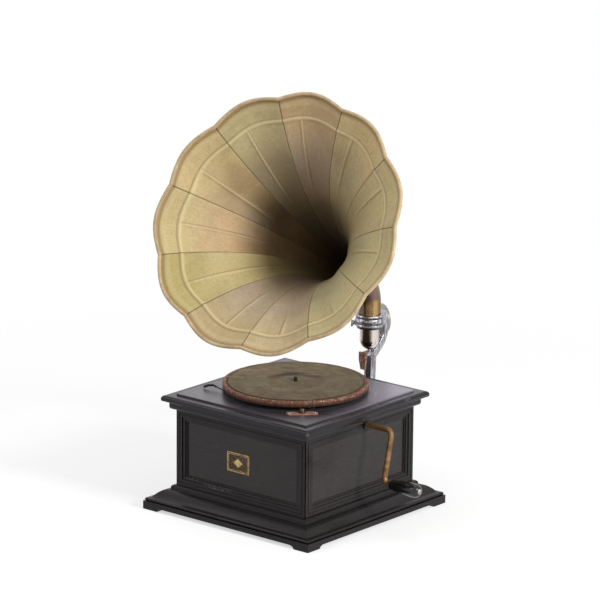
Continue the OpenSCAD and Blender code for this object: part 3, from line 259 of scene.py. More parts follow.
def relief(shader, height, depth, strength=1.0):
    """Bumps of that depth in metres, laid over any bumps that the shader already has."""
    bump = shader.id_data.nodes.new("ShaderNodeBump")
    bump.inputs["Strength"].default_value = strength
    bump.inputs["Distance"].default_value = depth
    feed(bump, "Height", height)
    if shader.inputs["Normal"].is_linked:
        feed(bump, "Normal", fed(shader, "Normal"))
    feed(shader, "Normal", bump.outputs["Normal"])


def along_line(tree, direction, centre=(0, 0, 0)):
    """Distance from a centre in that direction."""
    dot = tree.nodes.new("ShaderNodeVectorMath")
    dot.operation = "DOT_PRODUCT"
    tree.links.new(place(tree, centre=centre), dot.inputs[0])
    dot.inputs[1].default_value = direction
    return dot.outputs["Value"]


def worn_edges(tree, width):
    """1 on arrises within that width, from the difference between the face and a rounded edge."""
    rounded = tree.nodes.new("ShaderNodeBevel")
    rounded.samples = 4
    rounded.inputs["Radius"].default_value = width
    face = tree.nodes.new("ShaderNodeNewGeometry")
    dot = tree.nodes.new("ShaderNodeVectorMath")
    dot.operation = "DOT_PRODUCT"
    tree.links.new(rounded.outputs["Normal"], dot.inputs[0])
    tree.links.new(face.outputs["Normal"], dot.inputs[1])
    return spread(dot.outputs["Value"], 0.97, 0.8)


grain_runs = {"x": (9, 1, 1), "y": (1, 9, 1)}


def mitred(tree, pattern):
    """A pattern along X on the front and back, and along Y on the two sides."""
    across = tree.nodes.new("ShaderNodeSeparateXYZ")
    tree.links.new(place(tree), across.inputs[0])
    side_on = calculated("GREATER_THAN", calculated("ABSOLUTE", across.outputs["X"]),
                         calculated("ABSOLUTE", across.outputs["Y"]))
    return laid_over(side_on, pattern("x"), pattern("y"))


def ebonised(name, shade, specular, gloss, *knocks, along="mitred"):
    """Black-stained wood. knocks are (centre, size) places, in mm, where the stain is chipped
    to pale wood; along is the grain's axis, or mitred where it follows each side."""
    finish, tree, shader = new_finish(name, gloss, specular=specular)

    def grain_on(axis):
        return mottle(place(tree, size=grain_runs[axis]), 420, 5, 0.65, 0.4)

    def streaks_on(axis):
        run = [5 * r if r > 1 else r for r in grain_runs[axis]]
        return mottle(place(tree, size=run), 900, 3, 0.6)

    def tinted(depth):
        return tuple(depth * c for c in shade)

    grain = mitred(tree, grain_on) if along == "mitred" else grain_on(along)
    streaks = mitred(tree, streaks_on) if along == "mitred" else streaks_on(along)
    colour = painted(grain, (0.28, tinted(0.72)), (0.52, tinted(1.0)), (0.78, tinted(1.28)))
    colour = laid_over(spread(streaks, 0.56, 0.72), colour, tinted(2.2), 0.3)
    cloud = mottle(place(tree), 9, 3, 0.5)
    colour = laid_over(spread(cloud, 0.45, 0.75), colour, tinted(1.5), 0.3)
    chips = mottle(place(tree), 160, 6, 0.7)
    rubbed = calculated("MULTIPLY", worn_edges(tree, 1.1 * mm), spread(chips, 0.5, 0.6))
    colour = laid_over(rubbed, colour, (122, 104, 96), 0.42)
    flecks = spread(mottle(place(tree), 520, 2, 0.5), 0.74, 0.78)
    colour = laid_over(flecks, colour, (128, 120, 118), 0.25)
    for knock_at, knock_size in knocks:
        near = reach(place(tree, centre=Vector(knock_at) * mm, size=Vector(knock_size) * mm))
        knocked = calculated("MULTIPLY", spread(near, 1.0, 0.5), spread(chips, 0.44, 0.58))
        colour = laid_over(knocked, colour, (150, 140, 136), 0.36)
    feed(shader, "Base Color", colour)
    dull = mottle(place(tree), 38, 5, 0.65)
    feed(shader, "Roughness", spread(dull, 0.3, 0.75, gloss - 0.07, gloss + 0.1))
    for socket, value in (("Specular Tint", (0.96, 0.92, 1.0, 1)), ("Coat Weight", 0.4),
                          ("Coat IOR", 1.25), ("Coat Roughness", gloss),
                          ("Coat Tint", (0.97, 0.95, 1.0, 1))):
        shader.inputs[socket].default_value = value
    relief(shader, grain, 0.12 * mm, 0.4)
    relief(shader, dull, 0.5 * mm, 0.25)
    return finish


def dress(finish, *names):
    """Gives frame nodes a finish."""
    for name in names:
        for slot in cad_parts[name].material_slots:
            slot.material = finish


dress(ebonised("cornice_wood", (27, 24, 25), 0.22, 0.28, ((169, -169, 202), (5, 5, 7)),
               ((170, 108, 207), (6, 12, 3)), ((60, -169, 206), (7, 4, 2))), "cornice")
dress(ebonised("wall_wood", (32, 29, 27), 0.14, 0.3, ((-52, -150, 57), (40, 8, 4)),
               ((-112, -150, 61), (16, 8, 2))),
      "wall_front", "wall_right", "wall_back", "wall_left")
dress(ebonised("plinth_wood", (24, 21, 19), 0.16, 0.28, ((20, -186, 30), (50, 10, 4)),
               ((188, 30, 27), (8, 40, 4))), "plinth")

# The board has a painted pale reflection towards its front right corner, and a painted
# shadow, black and dull, where the turntable shades it.
board_wood = ebonised("board_wood", (56, 50, 54), 0.8, 0.36, along="x")
board_tree = board_wood.node_tree
board_shader = board_tree.nodes["Principled BSDF"]
front_right = (0.766, 0.643, 0)
# Painted pale reflection, strongest towards the front right corner.
overpaint(board_wood, spread(along_line(board_tree, front_right), 0.05, 0.19),
          (164, 160, 174), 0.75)
flattened = (1, 1, 1e6)
# Painted shadow of the turntable: black inside its rim's reach.
shade_in, shade_out = 0.127, 0.134
from_spindle = reach(place(board_tree, size=flattened))
shaded = spread(from_spindle, shade_out, shade_in)
overpaint(board_wood, shaded, (9, 8, 9))
feed(board_shader, "Coat Weight", spread(from_spindle, shade_in, shade_out, 0, 0.7))
feed(board_shader, "Roughness", calculated("MAXIMUM", shaded, fed(board_shader, "Roughness")))
dress(board_wood, "motor_board", "bottom_board")

for case_node in ("plinth", "cornice", "motor_board"):
    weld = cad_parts[case_node].modifiers.new("merged", "WELD")
    weld.merge_threshold = 0.02 * mm
    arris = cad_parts[case_node].modifiers.new("arris", "BEVEL")
    arris.width = 0.7 * mm
    arris.segments = 2
    arris.limit_method = "ANGLE"
    arris.angle_limit = math.radians(40)

# Panels: four flat boards of the same hardwood, held loose in the grooves of the frames and
# stained and waxed like them, with the grain level.
dress(ebonised("panel_wood", (42, 38, 35), 0.22, 0.36), "case_panels")


# Name plate: thin pressed brass with a rolled frame and a brown japanned field, pinned at its
# corners. The field carries a gilt border and a plain raised lozenge in place of any mark.
def brassy(name, bright, mid, dark, roughness=0.36, metallic=1.0):
    """Bare brass that has browned in patches, with fine pits."""
    finish, tree, shader = new_finish(name, roughness, metallic)
    patches = mottle(place(tree), 60, 6, 0.7, 0.6)
    feed(shader, "Base Color", painted(patches, (0.3, dark), (0.5, mid), (0.72, bright)))
    feed(shader, "Roughness", spread(patches, 0.3, 0.7, roughness + 0.16, roughness - 0.06))
    relief(shader, mottle(place(tree), 420, 4, 0.7), 0.12 * mm, 0.5)
    return finish


def patchy(name, roughness, specular, scale, detail, *stops, bumps=None):
    """A finish whose colour wears away in patches; bumps are their (depth, strength)."""
    finish, tree, shader = new_finish(name, roughness, specular=specular)
    patches = mottle(place(tree), scale, detail, 0.7)
    feed(shader, "Base Color", painted(patches, *stops))
    if bumps:
        relief(shader, patches, *bumps)
    return finish


def piece_from(bm, name, body, slot, *finishes, sharp=35, stands_for=()):
    """Makes a bmesh a piece that rides on a body and stands for frame nodes; slot is not used."""
    for face in bm.faces:
        face.smooth = True
    mesh = bpy.data.meshes.new(name)
    bm.to_mesh(mesh)
    bm.free()
    mesh.set_sharp_from_angle(angle=math.radians(sharp))
    for finish in finishes:
        mesh.materials.append(finish)
    piece = bpy.data.objects.new(name, mesh)
    bpy.context.scene.collection.objects.link(piece)
    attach(piece, body)
    if stands_for:
        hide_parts(*stands_for)
    return piece


def pulled_out(bm, faces, matrix):
    """Extrudes faces, moves their far end by the matrix and returns the faces there."""
    pulled = bmesh.ops.extrude_face_region(bm, geom=faces)["geom"]
    bmesh.ops.transform(bm, matrix=matrix,
                        verts=[v for v in pulled if isinstance(v, bmesh.types.BMVert)])
    return [f for f in pulled if isinstance(f, bmesh.types.BMFace)]


def bevelled(bm, edges, width, segments, clamp=False):
    """Rounds edges to that width."""
    bmesh.ops.bevel(bm, geom=edges, affect="EDGES", offset=width, offset_type="OFFSET",
                    segments=segments, profile=0.5, material=-1, clamp_overlap=clamp)


plate_brass = brassy("plate_brass", (222, 190, 126), (190, 156, 98), (112, 86, 54), 0.42, 0.8)
field_brown = patchy("plate_field", 0.34, 0.3, 330, 5, (0.4, (30, 24, 21)),
                     (0.52, (64, 47, 32)), (0.6, (116, 90, 54)), (0.68, (172, 142, 92)))
brass_index, field_index = 0, 1
plate_centre = Vector((-8.5, -145, 111)) * mm
plate_half = Vector((25.5, 17.75)) * mm
plate_t, pin_in, pin_r, pin_crown = 0.5 * mm, 4.4 * mm, 0.8 * mm, 0.45
bm = bmesh.new()
bmesh.ops.create_grid(bm, x_segments=1, y_segments=1, size=1)
bmesh.ops.scale(bm, verts=bm.verts, vec=(plate_half.x, plate_half.y, 1))
pulled_out(bm, bm.faces[:], Matrix.Translation((0, 0, plate_t)))
plate_steps = ((0.3, 0.3, brass_index), (0.7, 0.15, brass_index), (0.4, -0.35, brass_index),
               (1.6, 0, field_index), (0.2, 0.15, brass_index), (0.25, 0, brass_index),
               (0.2, -0.15, brass_index))
top = max(bm.faces, key=lambda f: f.calc_center_median().z)
for step_in, step_up, step_finish in plate_steps:
    border = bmesh.ops.inset_region(bm, faces=[top], thickness=step_in * mm, use_even_offset=True)
    for face in border["faces"]:
        face.material_index = step_finish
    bmesh.ops.translate(bm, verts=top.verts, vec=(0, 0, step_up * mm))
top.material_index = field_index
bmesh.ops.recalc_face_normals(bm, faces=bm.faces)
bevelled(bm, [e for e in bm.edges if e.is_manifold and e.calc_face_angle(0) > math.radians(30)],
         0.1 * mm, 1, clamp=True)
for pin_x in (-1, 1):
    for pin_y in (-1, 1):
        pin_at = Matrix.Translation((pin_x * (plate_half.x - pin_in),
                                     pin_y * (plate_half.y - pin_in), plate_t))
        bmesh.ops.create_uvsphere(bm, u_segments=12, v_segments=8, radius=pin_r,
                                  matrix=pin_at @ Matrix.Diagonal((1, 1, pin_crown, 1)))
field_z, lozenge_t = 0.45 * mm, 0.4 * mm
lozenge = bm.faces.new([bm.verts.new((x * mm, y * mm, field_z))
                        for x, y in ((-11, 0), (0, -8), (11, 0), (0, 8))])
lozenge_top = pulled_out(bm, [lozenge], Matrix.Translation((0, 0, lozenge_t)))
bmesh.ops.inset_region(bm, faces=lozenge_top, thickness=1.3 * mm, depth=-0.2 * mm)
bmesh.ops.inset_region(bm, faces=lozenge_top, thickness=1.6 * mm, depth=0.25 * mm)
bmesh.ops.transform(bm, verts=bm.verts,
                    matrix=Matrix.Translation(plate_centre) @ rotated(90, "X"))
piece_from(bm, "plate_relief", "case", "plate_brass", plate_brass, field_brown,
           stands_for=("name_plate",))


# Works inside the case: wheels, barrel and governor of cut brass, plates, pillars, arbors and
# springs of bare steel. They are bolted up under the motor board.
def plated(name, bright, dark, roughness):
    """Bare steel or nickel plating with freckles."""
    finish, tree, shader = new_finish(name, roughness, 1.0)
    freckles = mottle(place(tree), 190, 7, 0.72, 0.3)
    feed(shader, "Base Color", painted(freckles, (0.3, dark), (0.48, bright)))
    feed(shader, "Roughness", spread(freckles, 0.3, 0.5, roughness + 0.18, roughness))
    relief(shader, freckles, 0.06 * mm, 0.25)
    return finish


dress(brassy("motor_brass", (206, 176, 112), (176, 142, 86), (120, 92, 56)),
      "governor_bearings", "governor_wheel", "spring_barrel", "barrel_cover", "middle_wheel",
      "governor_weights")
bare_steel = plated("bare_steel", (168, 168, 170), (98, 90, 84), 0.3)
dress(bare_steel, "speed_scale_screws", "brake_pivot", "bracket_screws", "pivot_screw",
      "motor_top_plate", "motor_bottom_plate", "motor_pillars", "motor_bolts", "winding_bearing",
      "check_spring", "regulator_pivot", "governor_shaft", "governor_worm", "regulator_cam",
      "regulator_lever", "winding_shaft", "needle", "barrel_arbor", "mainspring")


# Turntable: a pressed steel plate with a rolled shoulder and a turned-down rim, its hub on the
# spindle. The plating has rusted terracotta and shows white specks along the shoulder.
def arc_points(cx, cy, rx, ry, start, end, count):
    """Points along part of an ellipse, by angles in degrees."""
    turns = [math.radians(start + (end - start) * i / count) for i in range(count + 1)]
    return [(cx + rx * math.cos(t), cy + ry * math.sin(t)) for t in turns]


def turned(bm, outline, steps, place_at):
    """A turned ring or solid: a closed (radius, height) outline in mm, spun about Z."""
    before = set(bm.verts)
    made = [bm.verts.new((r * mm, 0, z * mm)) for r, z in outline]
    edges = [bm.edges.new((a, b)) for a, b in zip(made, made[1:] + made[:1])]
    bmesh.ops.spin(bm, geom=made + edges, axis=(0, 0, 1), cent=(0, 0, 0), angle=math.tau,
                   steps=steps, use_merge=True)
    bmesh.ops.remove_doubles(bm, verts=[v for v in bm.verts if v not in before], dist=0.005 * mm)
    new = [v for v in bm.verts if v not in before]
    bmesh.ops.recalc_face_normals(bm, faces=[f for f in bm.faces if f.verts[0] not in before])
    bmesh.ops.transform(bm, matrix=place_at, verts=new)


def rusted(name, dark, mid, light, specks_from=0.62):
    """Red-brown rust over plating, with bright specks left."""
    finish, tree, shader = new_finish(name, 0.62, 0.2, specular=0.35)
    rust = mottle(place(tree), 210, 8, 0.75, 0.4)
    specks = spread(mottle(place(tree), 340, 5, 0.8), specks_from, specks_from + 0.05)
    colour = painted(rust, (0.3, dark), (0.46, mid), (0.62, light))
    feed(shader, "Base Color", laid_over(specks, colour, (226, 202, 180), 0.8))
    feed(shader, "Roughness", spread(specks, 0, 1, 0.66, 0.34))
    relief(shader, rust, 0.5 * mm, 0.6)
    return finish


upward = (0, 0, 1)
spindle_r, hub_r, plate_z = 4.17, 12, 231
rim_outline = ([(spindle_r, 217), (11.4, 217), (hub_r, 217.6), (hub_r, 229), (125.8, 229),
                (127.65, 227.2), (127.65, 221.8)]
               + arc_points(128.95, 221.9, 1.3, 0.9, 180, 360, 6)
               + arc_points(127.25, 229, 3, 3, 0, 110, 9)
               + [(124.6, 231.3), (123.3, plate_z), (spindle_r, plate_z)])
bm = bmesh.new()
turned(bm, rim_outline, 180, Matrix.Identity(4))
rim_rust = rusted("rim_rust", (62, 37, 27), (106, 66, 50), (146, 99, 77), 0.57)
# Painted shade: the rim is darker towards its lower edge.
overpaint(rim_rust, spread(along_line(rim_rust.node_tree, upward), 0.2285, 0.2245),
          (46, 28, 21), 0.8)
piece_from(bm, "rim_plate", "turntable", "rusty_plate", rim_rust, sharp=40,
           stands_for=("turntable",))
dress(rusted("spindle_rust", (20, 14, 10), (34, 24, 16), (58, 40, 26), 0.75), "spindle")


# Felt mat: a disc of thick olive-grey wool felt glued to the plate, faded, creased and marked
# by the rings of records.
def within(value, middle, far, near):
    """1 where a value is less than near off the middle, 0 where it is more than far off."""
    return spread(calculated("ABSOLUTE", calculated("SUBTRACT", value, middle)), far, near)


felt_z = 232.4
felt_outline = ([(4.45, plate_z + 0.05), (4.45, 232.2), (5.0, felt_z)]
                + [(6 + 5.79 * i, felt_z + 0.07 * math.sin(2.1 * i)) for i in range(21)]
                + [(122.5, 232.3), (123, 231.9), (123.05, plate_z + 0.05)])
bm = bmesh.new()
turned(bm, felt_outline, 144, Matrix.Identity(4))
felt_cloth, felt_tree, felt_shader = new_finish("felt_cloth", 0.95, specular=0.15)
felt_shader.inputs["Sheen Weight"].default_value = 0.05
felt_shader.inputs["Sheen Roughness"].default_value = 0.6
patches = mottle(place(felt_tree), 30, 8, 0.72, 0.8)
feed(felt_shader, "Base Color", painted(
    patches, (0.3, (88, 74, 54)), (0.48, (112, 98, 74)), (0.7, (132, 117, 92))))
felt_radius = calculated("ADD", reach(place(felt_tree, size=flattened)),
                         calculated("MULTIPLY", patches, 0.012))
far_side = along_line(felt_tree, (-0.643, 0.766, 0))
# Each mark: radius, half width, colour, share, and 1 on the far side, -1 on the near, 0 on both.
for mark_r, mark_half, mark_shade, mark_share, mark_side in (
        (0.05, 0.014, (46, 38, 26), 0.9, 1), (0.064, 0.003, (150, 136, 104), 0.6, -1),
        (0.074, 0.002, (144, 130, 98), 0.45, -1), (0.101, 0.0025, (136, 122, 92), 0.3, 1),
        (0.1285, 0.0035, (58, 46, 34), 0.85, 0)):
    mark = within(felt_radius, mark_r, mark_half, 0.3 * mark_half)
    if mark_side:
        mark = calculated("MULTIPLY", mark, spread(far_side, 0, 0.04 * mark_side))
    overpaint(felt_cloth, mark, mark_shade, mark_share)
creases = mottle(place(felt_tree, turn=(0, 0, 0.5), size=(3.4, 1, 1)), 46, 6, 0.62, 1.6)
fluff = mottle(place(felt_tree), 420, 4, 0.7)
for noise, low, high, shade, share in (
        (creases, 0.56, 0.64, (146, 134, 108), 0.5), (creases, 0.42, 0.34, (70, 60, 42), 0.16),
        (fluff, 0.64, 0.72, (150, 138, 112), 0.3), (fluff, 0.36, 0.28, (66, 56, 42), 0.4)):
    overpaint(felt_cloth, spread(noise, low, high), shade, share)
relief(felt_shader, mottle(place(felt_tree), 1500, 4, 0.8), 0.5 * mm, 0.8)
relief(felt_shader, creases, 1.6 * mm, 0.7)
piece_from(bm, "felt_disc", "turntable", "felt", felt_cloth, stands_for=("felt_mat",))

# Speed control and brake, screwed to the board: a rusty scale plate under a brass pointer that
# is darker below its knob, a lever in black enamel, and the pads of cork that they press on.
dress(rusted("scale_rust", (96, 62, 52), (166, 118, 102), (204, 158, 138)), "speed_scale")
pointer_metal = brassy("pointer_metal", (236, 230, 216), (206, 196, 176), (140, 118, 90), 0.3)
overpaint(pointer_metal, spread(along_line(pointer_metal.node_tree, upward), 0.222, 0.219),
          (70, 52, 40), 0.85)
dress(pointer_metal, "speed_pointer")
black_enamel = patchy("black_enamel", 0.3, 0.25, 240, 6, (0.4, (18, 17, 19)),
                      (0.66, (30, 28, 29)), (0.76, (92, 84, 78)), bumps=(0.2 * mm, 0.3))
dress(black_enamel, "brake_lever")
dress(patchy("pad_cork", 0.9, 0.5, 700, 4, (0.3, (96, 70, 48)), (0.7, (150, 118, 84)),
             bumps=(0.4 * mm, 0.6)), "regulator_pad", "brake_pad")

# Crank: a round rod with two bends in browned brass, threaded into the winding shaft through a
# black bush, and a turned black grip that spins on its riveted end.
crank_brass = brassy("crank_brass", (172, 139, 92), (132, 98, 61), (80, 57, 41), 0.42, 0.6)
rod_tree = crank_brass.node_tree
rivet_wear = painted(mottle(place(rod_tree), 500, 4, 0.7), (0.4, (60, 52, 46)),
                     (0.55, (196, 190, 182)))
overpaint(crank_brass, spread(along_line(rod_tree, (1, 0, 0)), 0.284, 0.286), rivet_wear)
dress(crank_brass, "crank_rod")
dress(black_enamel, "crank_escutcheon")
crank_axis = Matrix.Translation((0, 15 * mm, 178 * mm)) @ rotated(-13, "X")
grip_at = crank_axis @ Matrix.Translation((221.3 * mm, 0, -93 * mm)) @ rotated(90, "Y")
bore_r, grip_r, swell_z = 3.25, 12.5, 56
grip_outline = ([(bore_r, 0.2), (7.2, 0), (7.75, 0.5), (7.75, 2.6), (7.3, 3.1), (7.3, 3.7),
                 (8.6, 4.6)]
                + [(grip_r * (0.68 + 0.32 * math.sin(math.radians(7.5 * i))),
                    2 + swell_z * i / 12 * 0.96) for i in range(1, 13)]
                + [(grip_r * (0.4 + 0.6 * math.cos(math.radians(9 * i))),
                    swell_z + 12 * math.sin(math.radians(9 * i))) for i in range(1, 11)]
                + [(4.4, 68), (bore_r, 67.6)])
bm = bmesh.new()
turned(bm, grip_outline, 48, grip_at)
grip_lacquer = patchy("grip_lacquer", 0.22, 0.45, 150, 6, (0.35, (12, 11, 14)),
                      (0.66, (22, 20, 22)), (0.78, (70, 52, 42)), bumps=(0.25 * mm, 0.25))
grip_shader = grip_lacquer.node_tree.nodes["Principled BSDF"]
grip_shader.inputs["Coat Weight"].default_value = 0.2
grip_shader.inputs["Coat Roughness"].default_value = 0.06
piece_from(bm, "turned_grip", "handle", "handle_lacquer", grip_lacquer, sharp=50,
           stands_for=("crank_handle",))


# Bracket: one casting in a silvery metal, screwed to the back of the case. A flanged foot, a
# swept arm, a ledge under the tonearm, a lug for the clamp screw and the ring for the elbow.
def station(at, ahead, up):
    """A matrix at a point whose Z runs ahead and whose Y is as near up as it can be."""
    z = ahead.normalized()
    x = up.cross(z).normalized()
    turn = Matrix((x, z.cross(x), z)).transposed().to_4x4()
    return Matrix.Translation(at) @ turn


def swept(bm, outline, stations):
    """A closed bar: an outline's face pulled through a row of stations (matrices)."""
    before = set(bm.faces)
    face = bm.faces.new([bm.verts.new(stations[0] @ Vector((x, y, 0))) for x, y in outline])
    for near, far in zip(stations, stations[1:]):
        passed = face
        face = pulled_out(bm, [passed], far @ near.inverted())[0]
        if near is not stations[0]:
            bmesh.ops.delete(bm, geom=[passed], context="FACES_ONLY")
    made = [f for f in bm.faces if f not in before]
    bmesh.ops.recalc_face_normals(bm, faces=made)
    if sum(f.calc_center_median().dot(f.normal) * f.calc_area() for f in made) < 0:
        bmesh.ops.reverse_faces(bm, faces=made)


def painted_reflections(finish, left, *streaks):
    """Upright painted reflections and highlights on a tube: (middle, half width, colour, share),
    in mm to the left.
    """
    for middle, half_width, shade, share in streaks:
        streak = within(left, middle * mm, half_width * mm, 0.55 * half_width * mm)
        overpaint(finish, streak, shade, share)


def silvery(name):
    """The casting's metal, streaked upright."""
    finish, tree, shader = new_finish(name, 0.3, 0.95)
    streaks = mottle(place(tree, size=(1, 1, 5)), 190, 6, 0.7, 0.8)
    colour = painted(streaks, (0.34, (84, 80, 84)), (0.46, (146, 144, 150)),
                     (0.56, (190, 190, 196)), (0.68, (238, 238, 240)))
    stained = spread(mottle(place(tree), 70, 5, 0.65), 0.55, 0.7)
    feed(shader, "Base Color", laid_over(stained, colour, (120, 108, 104), 0.5))
    feed(shader, "Roughness", spread(streaks, 0.3, 0.7, 0.42, 0.2))
    relief(shader, mottle(place(tree), 260, 5, 0.7), 0.3 * mm, 0.5)
    relief(shader, streaks, 0.5 * mm, 0.35)
    return finish


pivot = Vector((0, 206.7 * mm, 0))
leftward = (-0.766, -0.643, 0)
lug_turn = Matrix.Translation(pivot) @ rotated(220, "Z")
# The arm's centre line in Y and Z, and half its width there.
arm_path = [(151, 108, 9), (169, 110, 9), (183, 116, 8.8), (193.7, 126, 8.5),
            (201.5, 139, 8.2), (205.7, 154, 8), (208.7, 188, 8), (210.7, 234, 8),
            (218, 240.5, 7.6), (225.7, 247, 7.2), (234.5, 254.5, 6.9), (240.7, 262, 6.6),
            (244.6, 270, 6.3), (245.7, 278, 6.2), (245.7, 303, 6.2)]
# A fluted section: thickness in mm, and the share of the half width.
fluted_face = [(-7.75, 1), (-6.3, 1), (-5.3, 0.55), (-1.6, 0.55), (-0.9, 0.8), (0.9, 0.8),
               (1.6, 0.55), (5.3, 0.55), (6.3, 1), (7.75, 1)]
arm_section = [(-7.75, -1)] + fluted_face + [(-w, -t) for w, t in fluted_face[:-1]]
bm = bmesh.new()
arm_stations = []
for index, (y, z, half_t) in enumerate(arm_path):
    behind = Vector((0, *arm_path[max(index - 1, 0)][:2])) * mm
    ahead = Vector((0, *arm_path[min(index + 1, len(arm_path) - 1)][:2])) * mm
    level = station(Vector((0, y * mm, z * mm)), ahead - behind, Vector((1, 0, 0)))
    arm_stations.append(level @ Matrix.Diagonal((half_t * mm, mm, 1, 1)))
swept(bm, [(t, w) for w, t in arm_section], arm_stations)
cast_blocks = (((0, 149, 111), (52, 8, 54), Matrix.Identity(4)),
               ((0, 202, 241), (18, 24, 6), Matrix.Identity(4)),
               ((0, 234.2, 301.5), (18, 27, 25), Matrix.Identity(4)),
               ((23.4, 0, 298), (8, 9.5, 11), lug_turn))
for block_at, block_size, block_turn in cast_blocks:
    block = bmesh.ops.create_cube(bm, size=mm)["verts"]
    bmesh.ops.scale(bm, verts=block, vec=block_size)
    bmesh.ops.translate(bm, verts=block, vec=Vector(block_at) * mm)
    bmesh.ops.transform(bm, verts=block, matrix=block_turn)
    bevelled(bm, list({e for v in block for e in v.link_edges}), 2 * mm, 3)
casting = piece_from(bm, "bracket_casting", "case", "cast_bracket", silvery("cast_silver"),
                     sharp=180, stands_for=("bracket",))
joined = casting.modifiers.new("one_casting", "REMESH")
joined.mode = "VOXEL"
joined.voxel_size = 1.0 * mm
joined.use_smooth_shade = True
fettled = casting.modifiers.new("fettled", "SMOOTH")
fettled.factor = 0.5
fettled.iterations = 3

# Ring of the bracket, turned after casting: two bright beads and a crowned band between them,
# parted by grooves with painted shade in them, and upright painted reflections down its side.
ring_outline = ([(17.95, 289.5), (18.4, 289), (23.2, 289), (24, 290.2), (24.2, 292.4)]
                + arc_points(24.6, 295.2, 1.8, 2.3, -90, 90, 8)
                + [(23.9, 298.2), (23.9, 299.5), (25, 300), (25.8, 301.6), (26.1, 304.2),
                   (25.8, 306.8), (25, 308.4), (23.9, 308.9), (23.9, 310.2)]
                + arc_points(24.5, 312.7, 1.9, 2.2, -90, 90, 8)
                + [(22, 315), (20.9, 315), (20.45, 314.5), (20.45, 293), (17.95, 293)])
bm = bmesh.new()
turned(bm, ring_outline, 96, Matrix.Translation(pivot))
ring_silver = silvery("ring_silver")
# Painted shade in the three grooves.
for groove_z, groove_half in ((290.5, 2.4), (298.8, 1.5), (309.5, 1.5)):
    groove = within(along_line(ring_silver.node_tree, upward), groove_z * mm,
                    groove_half * mm, 0.5 * groove_half * mm)
    overpaint(ring_silver, groove, (58, 54, 56), 0.85)
# Upright painted reflections: a dark one left of the middle and a pale one at the right.
painted_reflections(ring_silver, along_line(ring_silver.node_tree, leftward, pivot),
         (8, 9, (112, 100, 96), 0.5), (-25, 3, (120, 118, 124), 0.6))
piece_from(bm, "bracket_ring", "case", "cast_bracket", ring_silver, sharp=50)

# Clamp screw of the ring: a steel thumb screw whose shank goes through the lug. Its thumb piece
# is flat, and widens towards the end.
screw_z, thumb_z, thumb_out = 298, 296.6, 31.4
bm = bmesh.new()
turned(bm, [(0.05, 20.6), (2, 20.6), (2, 27.6), (3.9, 27.6), (4.3, 28), (4.3, 29.2),
            (3.9, 29.6), (0.05, 29.6)], 24,
       lug_turn @ Matrix.Translation((0, 0, screw_z * mm)) @ rotated(90, "Y"))
thumb = bmesh.ops.create_cube(bm, size=mm)["verts"]
for vert in thumb:
    x, y, z = vert.co
    vert.co = (thumb_out * mm + 4.6 * x, 3.2 * y, thumb_z * mm + (15 if x > 0 else 10) * z)
bmesh.ops.transform(bm, verts=thumb, matrix=lug_turn)
bevelled(bm, list({e for v in thumb for e in v.link_edges}), 1.2 * mm, 3)
piece_from(bm, "thumb_screw", "case", "steel", bare_steel, sharp=60, stands_for=("collar_screw",))

# Elbow under the horn: a bent brass tube gone brown, mauve-brown from about 346 mm up, with the
# horn's brass ferrule on its other end. Upright painted reflections and a painted highlight run
# down it.
elbow_brass, elbow_tree, elbow_shader = new_finish("elbow_brass", 0.36, 0.85)
elbow_clouds = mottle(place(elbow_tree), 55, 6, 0.65, 0.5)
feed(elbow_shader, "Base Color", painted(
    elbow_clouds, (0.3, (104, 82, 54)), (0.5, (136, 109, 71)), (0.72, (162, 132, 86))))
# Painted reflections and a painted highlight, upright down the tube.
painted_reflections(elbow_brass, calculated("ADD", along_line(elbow_tree, leftward, pivot),
                                 calculated("MULTIPLY", elbow_clouds, 1.5 * mm)),
         (17.5, 6.5, (104, 86, 82), 0.85), (9.8, 2.6, (56, 38, 27), 0.85),
         (-9.5, 5, (200, 168, 112), 0.6), (-20, 4.6, (84, 62, 50), 0.8))
elbow_height = calculated("ADD", along_line(elbow_tree, upward),
                          calculated("MULTIPLY", elbow_clouds, 8 * mm))
# Mauve-brown from about 346 mm up.
overpaint(elbow_brass, spread(elbow_height, 343.5 * mm, 349.5 * mm), (118, 98, 92), 0.85)
feed(elbow_shader, "Roughness", spread(elbow_clouds, 0.3, 0.7, 0.42, 0.28))
relief(elbow_shader, mottle(place(elbow_tree), 380, 4, 0.7), 0.1 * mm, 0.4)
dress(elbow_brass, "horn_elbow", "horn_ferrule")

# Tonearm and soundbox, nickel plated and gone a little yellow. The tonearm's bend hangs in the
# ring, with a painted brown reflection down one side; the soundbox holds a mica disc in a black
# flange.
tonearm_nickel = plated("tonearm_nickel", (220, 212, 206), (176, 164, 154), 0.12)
# Painted reflections: a wide brown one and a narrow grey one, upright.
painted_reflections(tonearm_nickel, along_line(tonearm_nickel.node_tree, leftward, pivot),
         (5.2, 11.5, (66, 46, 38), 0.9), (-18, 2.4, (70, 60, 62), 0.8))
dress(tonearm_nickel, "tonearm")
nickel_bright, nickel_dark = (160, 155, 144), (100, 95, 84)
dress(plated("aged_nickel", nickel_bright, nickel_dark, 0.24), "gooseneck", "stylus_bar",
      "needle_screw")
shell_nickel = plated("shell_nickel", nickel_bright, nickel_dark, 0.24)
shell_centre = (-0.0757, 0.33, 0.266)
overpaint(shell_nickel, spread(reach(place(shell_nickel.node_tree, centre=shell_centre)),
                               23.5 * mm, 22 * mm), (84, 81, 70), 0.85)
dress(shell_nickel, "soundbox_shell")
dress(black_enamel, "soundbox_flange")
dress(patchy("mica_disc", 0.2, 0.5, 90, 5, (0.3, (72, 78, 70)), (0.7, (120, 124, 112))),
      "diaphragm")
dress(rusted("plate_rust", (52, 30, 24), (120, 78, 60), (190, 150, 126), 0.56), "pivot_plate")

